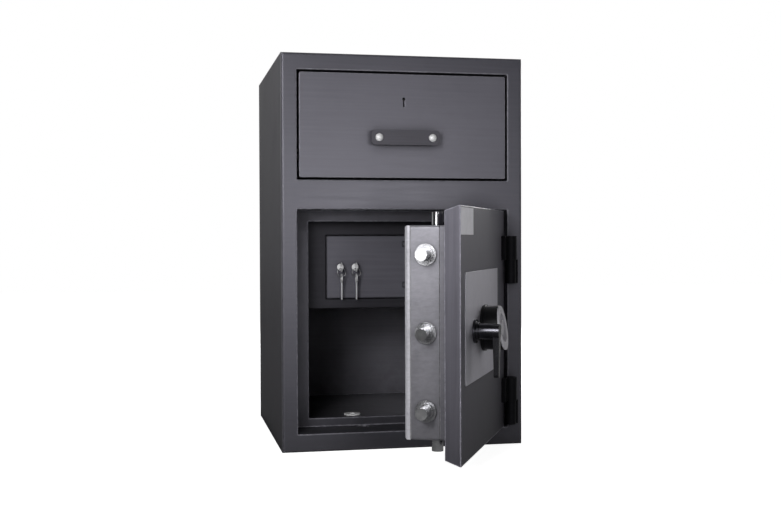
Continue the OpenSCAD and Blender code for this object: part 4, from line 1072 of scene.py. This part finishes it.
@dataclass
class Studio:
    """Floor, backdrop, lamps, world and camera.

    The bands of the room and the backdrop are parts of the unit vector of a direction, and the backdrop lies
    towards +Y.
    """

    floor_size: float = 14.0
    floor_shade: Color = (0.80, 0.80, 0.80)
    floor_mottle: float = 0.99
    floor_clouds: Cloud = (3.0, 2.0, 0.5)
    floor_dimmed: float = 0.85
    floor_shine: float = 0.10
    floor_lift: float = 0.92
    floor_lift_reach: Band = (1.0, 3.0)
    room_heights: Band = (-0.3, 0.8)
    room_levels: Band = (0.012, 0.045)
    backdrop_ahead: Band = (0.0, 0.3)
    backdrop_shine: float = 0.6
    backdrop_heights: Band = (-0.05, 0.25)
    backdrop_levels: Band = (0.45, 1.4)
    camera_place: Point = (-0.49521, -2.52134, 0.43386)
    yaw: float = 0.202691
    pitch: float = -0.018445
    roll: float = -0.003015
    focal_px: float = 1121.80
    image_width: float = 781.0
    sensor: float = 36.0
    near: float = 0.05
    lamps: tuple[Lamp, ...] = (
        Lamp("main_lamp", (-0.85, -1.60, 0.80), (0.0, -0.40, 0.35), 0.30, 0.30, 8.5),
        Lamp("low_left_lamp", (-0.75, -2.00, 0.50), (0.0, -0.35, 0.40), 0.30, 0.30, 3.2),
        Lamp("high_left_lamp", (-0.60, -1.50, 1.05), (0.0, -0.35, 0.45), 0.30, 0.30, 2.8),
        Lamp("wide_front_lamp", (0.34, -2.50, 0.56), (0.0, -0.3, 0.45), 0.80, 0.45, 8.6),
        Lamp("back_lamp", (0.40, 2.70, 1.30), (0.0, 0.0, 0.45), 0.60, 0.60, 26.0),
        Lamp("back_right_lamp", (1.60, 2.10, 1.20), (0.0, 0.0, 0.45), 0.80, 0.80, 42.0),
        Lamp("bolt_glint_lamp", (-0.95, -1.57, 0.43), (0.0, -0.45, 0.40), 0.14, 0.14, 0.3),
    )

    def camera(self) -> None:
        """Makes the camera of the photograph's view."""
        data = bpy.data.cameras.new("view")
        data.sensor_width = self.sensor
        data.lens = self.focal_px * self.sensor / self.image_width
        data.clip_start = self.near
        eye = bpy.data.objects.new("view", data)
        bpy.context.scene.collection.objects.link(eye)
        right = Vector((math.cos(self.yaw), -math.sin(self.yaw), 0))
        ahead = Vector((math.sin(self.yaw), math.cos(self.yaw), 0))
        up = Vector((0, 0, 1))
        look = ahead * math.cos(self.pitch) + up * math.sin(self.pitch)
        top = up * math.cos(self.pitch) - ahead * math.sin(self.pitch)
        side = right * math.cos(self.roll) + top * math.sin(self.roll)
        top = top * math.cos(self.roll) - right * math.sin(self.roll)
        turn = Matrix((side, top, -look)).transposed().to_4x4()
        eye.matrix_world = Matrix.Translation(self.camera_place) @ turn
        bpy.context.scene.camera = eye

    @staticmethod
    def seen(graph: Graph, path: bpy.types.Node) -> Socket:
        """Gives 1 where the camera looks, also through glass."""
        return graph.calc("MAXIMUM", path.outputs["Is Camera Ray"], path.outputs["Is Transmission Ray"])

    def world(self) -> None:
        """Makes a dim room, and a backdrop that shows in shines and is white to the camera."""
        world = bpy.data.worlds.new("studio")
        bpy.context.scene.world = world
        world.use_nodes = True
        graph = Graph(world.node_tree)
        path = graph.add("LightPath")
        _, ahead, height = graph.add("SeparateXYZ", {0: graph.coordinate("Generated")}).outputs
        behind = graph.spread(ahead, *self.backdrop_ahead, 0.0, self.backdrop_shine)
        slope = graph.spread(height, *self.backdrop_heights, *self.backdrop_levels)
        shine = graph.masked(behind, slope, path.outputs["Is Glossy Ray"])
        level = graph.spread(height, *self.room_heights, *self.room_levels)
        room = graph.add("Background", {"Color": WHITE, "Strength": level})
        white = graph.add("Background", {"Color": WHITE, "Strength": 1.0})
        bright = graph.calc("MAXIMUM", self.seen(graph, path), shine)
        mix = graph.add("MixShader", {0: bright, 1: room.outputs[0], 2: white.outputs[0]})
        graph.add("OutputWorld", {0: mix.outputs[0]})

    def floor(self) -> None:
        """Makes the plain pale floor, which keeps the object's shadow and turns white far from it."""
        material = bpy.data.materials.new("Pale studio floor")
        material.use_nodes = True
        graph = Graph(material.node_tree)
        path = graph.add("LightPath")
        glossy = path.outputs["Is Glossy Ray"]
        darker = tuple(c * self.floor_mottle for c in self.floor_shade)
        shade = graph.blend(graph.noise(*self.floor_clouds), darker, self.floor_shade)
        shade = graph.blend(graph.calc("MULTIPLY", glossy, self.floor_dimmed), shade, BLACK)
        matt = graph.add("BsdfDiffuse", {"Color": shade})
        shine = graph.calc("MULTIPLY", glossy, self.floor_shine)
        away = graph.add("VectorMath", {0: graph.coordinate()}, operation="LENGTH").outputs["Value"]
        level = graph.spread(away, *self.floor_lift_reach, self.floor_lift, 1.0)
        lift = graph.calc("MULTIPLY", graph.calc("MAXIMUM", self.seen(graph, path), shine), level)
        glow = graph.add("Emission", {"Color": WHITE, "Strength": lift})
        both = graph.add("AddShader", {0: matt.outputs[0], 1: glow.outputs[0]})
        graph.add("OutputMaterial", {0: both.outputs[0]})
        mesh = bpy.data.meshes.new("studio_floor")
        half = self.floor_size / 2
        corners = [(-half, -half, 0), (half, -half, 0), (half, half, 0), (-half, half, 0)]
        mesh.from_pydata(corners, [], [(0, 1, 2, 3)])
        mesh.materials.append(material)
        ground = bpy.data.objects.new("studio_floor", mesh)
        bpy.context.scene.collection.objects.link(ground)

    def build(self) -> None:
        """Makes the whole studio."""
        self.camera()
        for lamp in self.lamps:
            lamp.build()
        self.world()
        self.floor()
        bpy.context.scene.view_settings.view_transform = "Standard"
        LOG.info("studio with %d lamps", len(self.lamps))


def main() -> None:
    """Builds the studio, then dresses the safe one sub-assembly after another."""
    logging.basicConfig(level=logging.INFO, format="%(name)s: %(message)s")
    Studio().build()
    for part in (Cabinet, VaultInterior, VaultDoor, BoltWork, CombinationLock, HandleAndDial, Drawer):
        part().build()
        LOG.info("%s done", part.__name__)


if __name__ == "__main__":
    main()
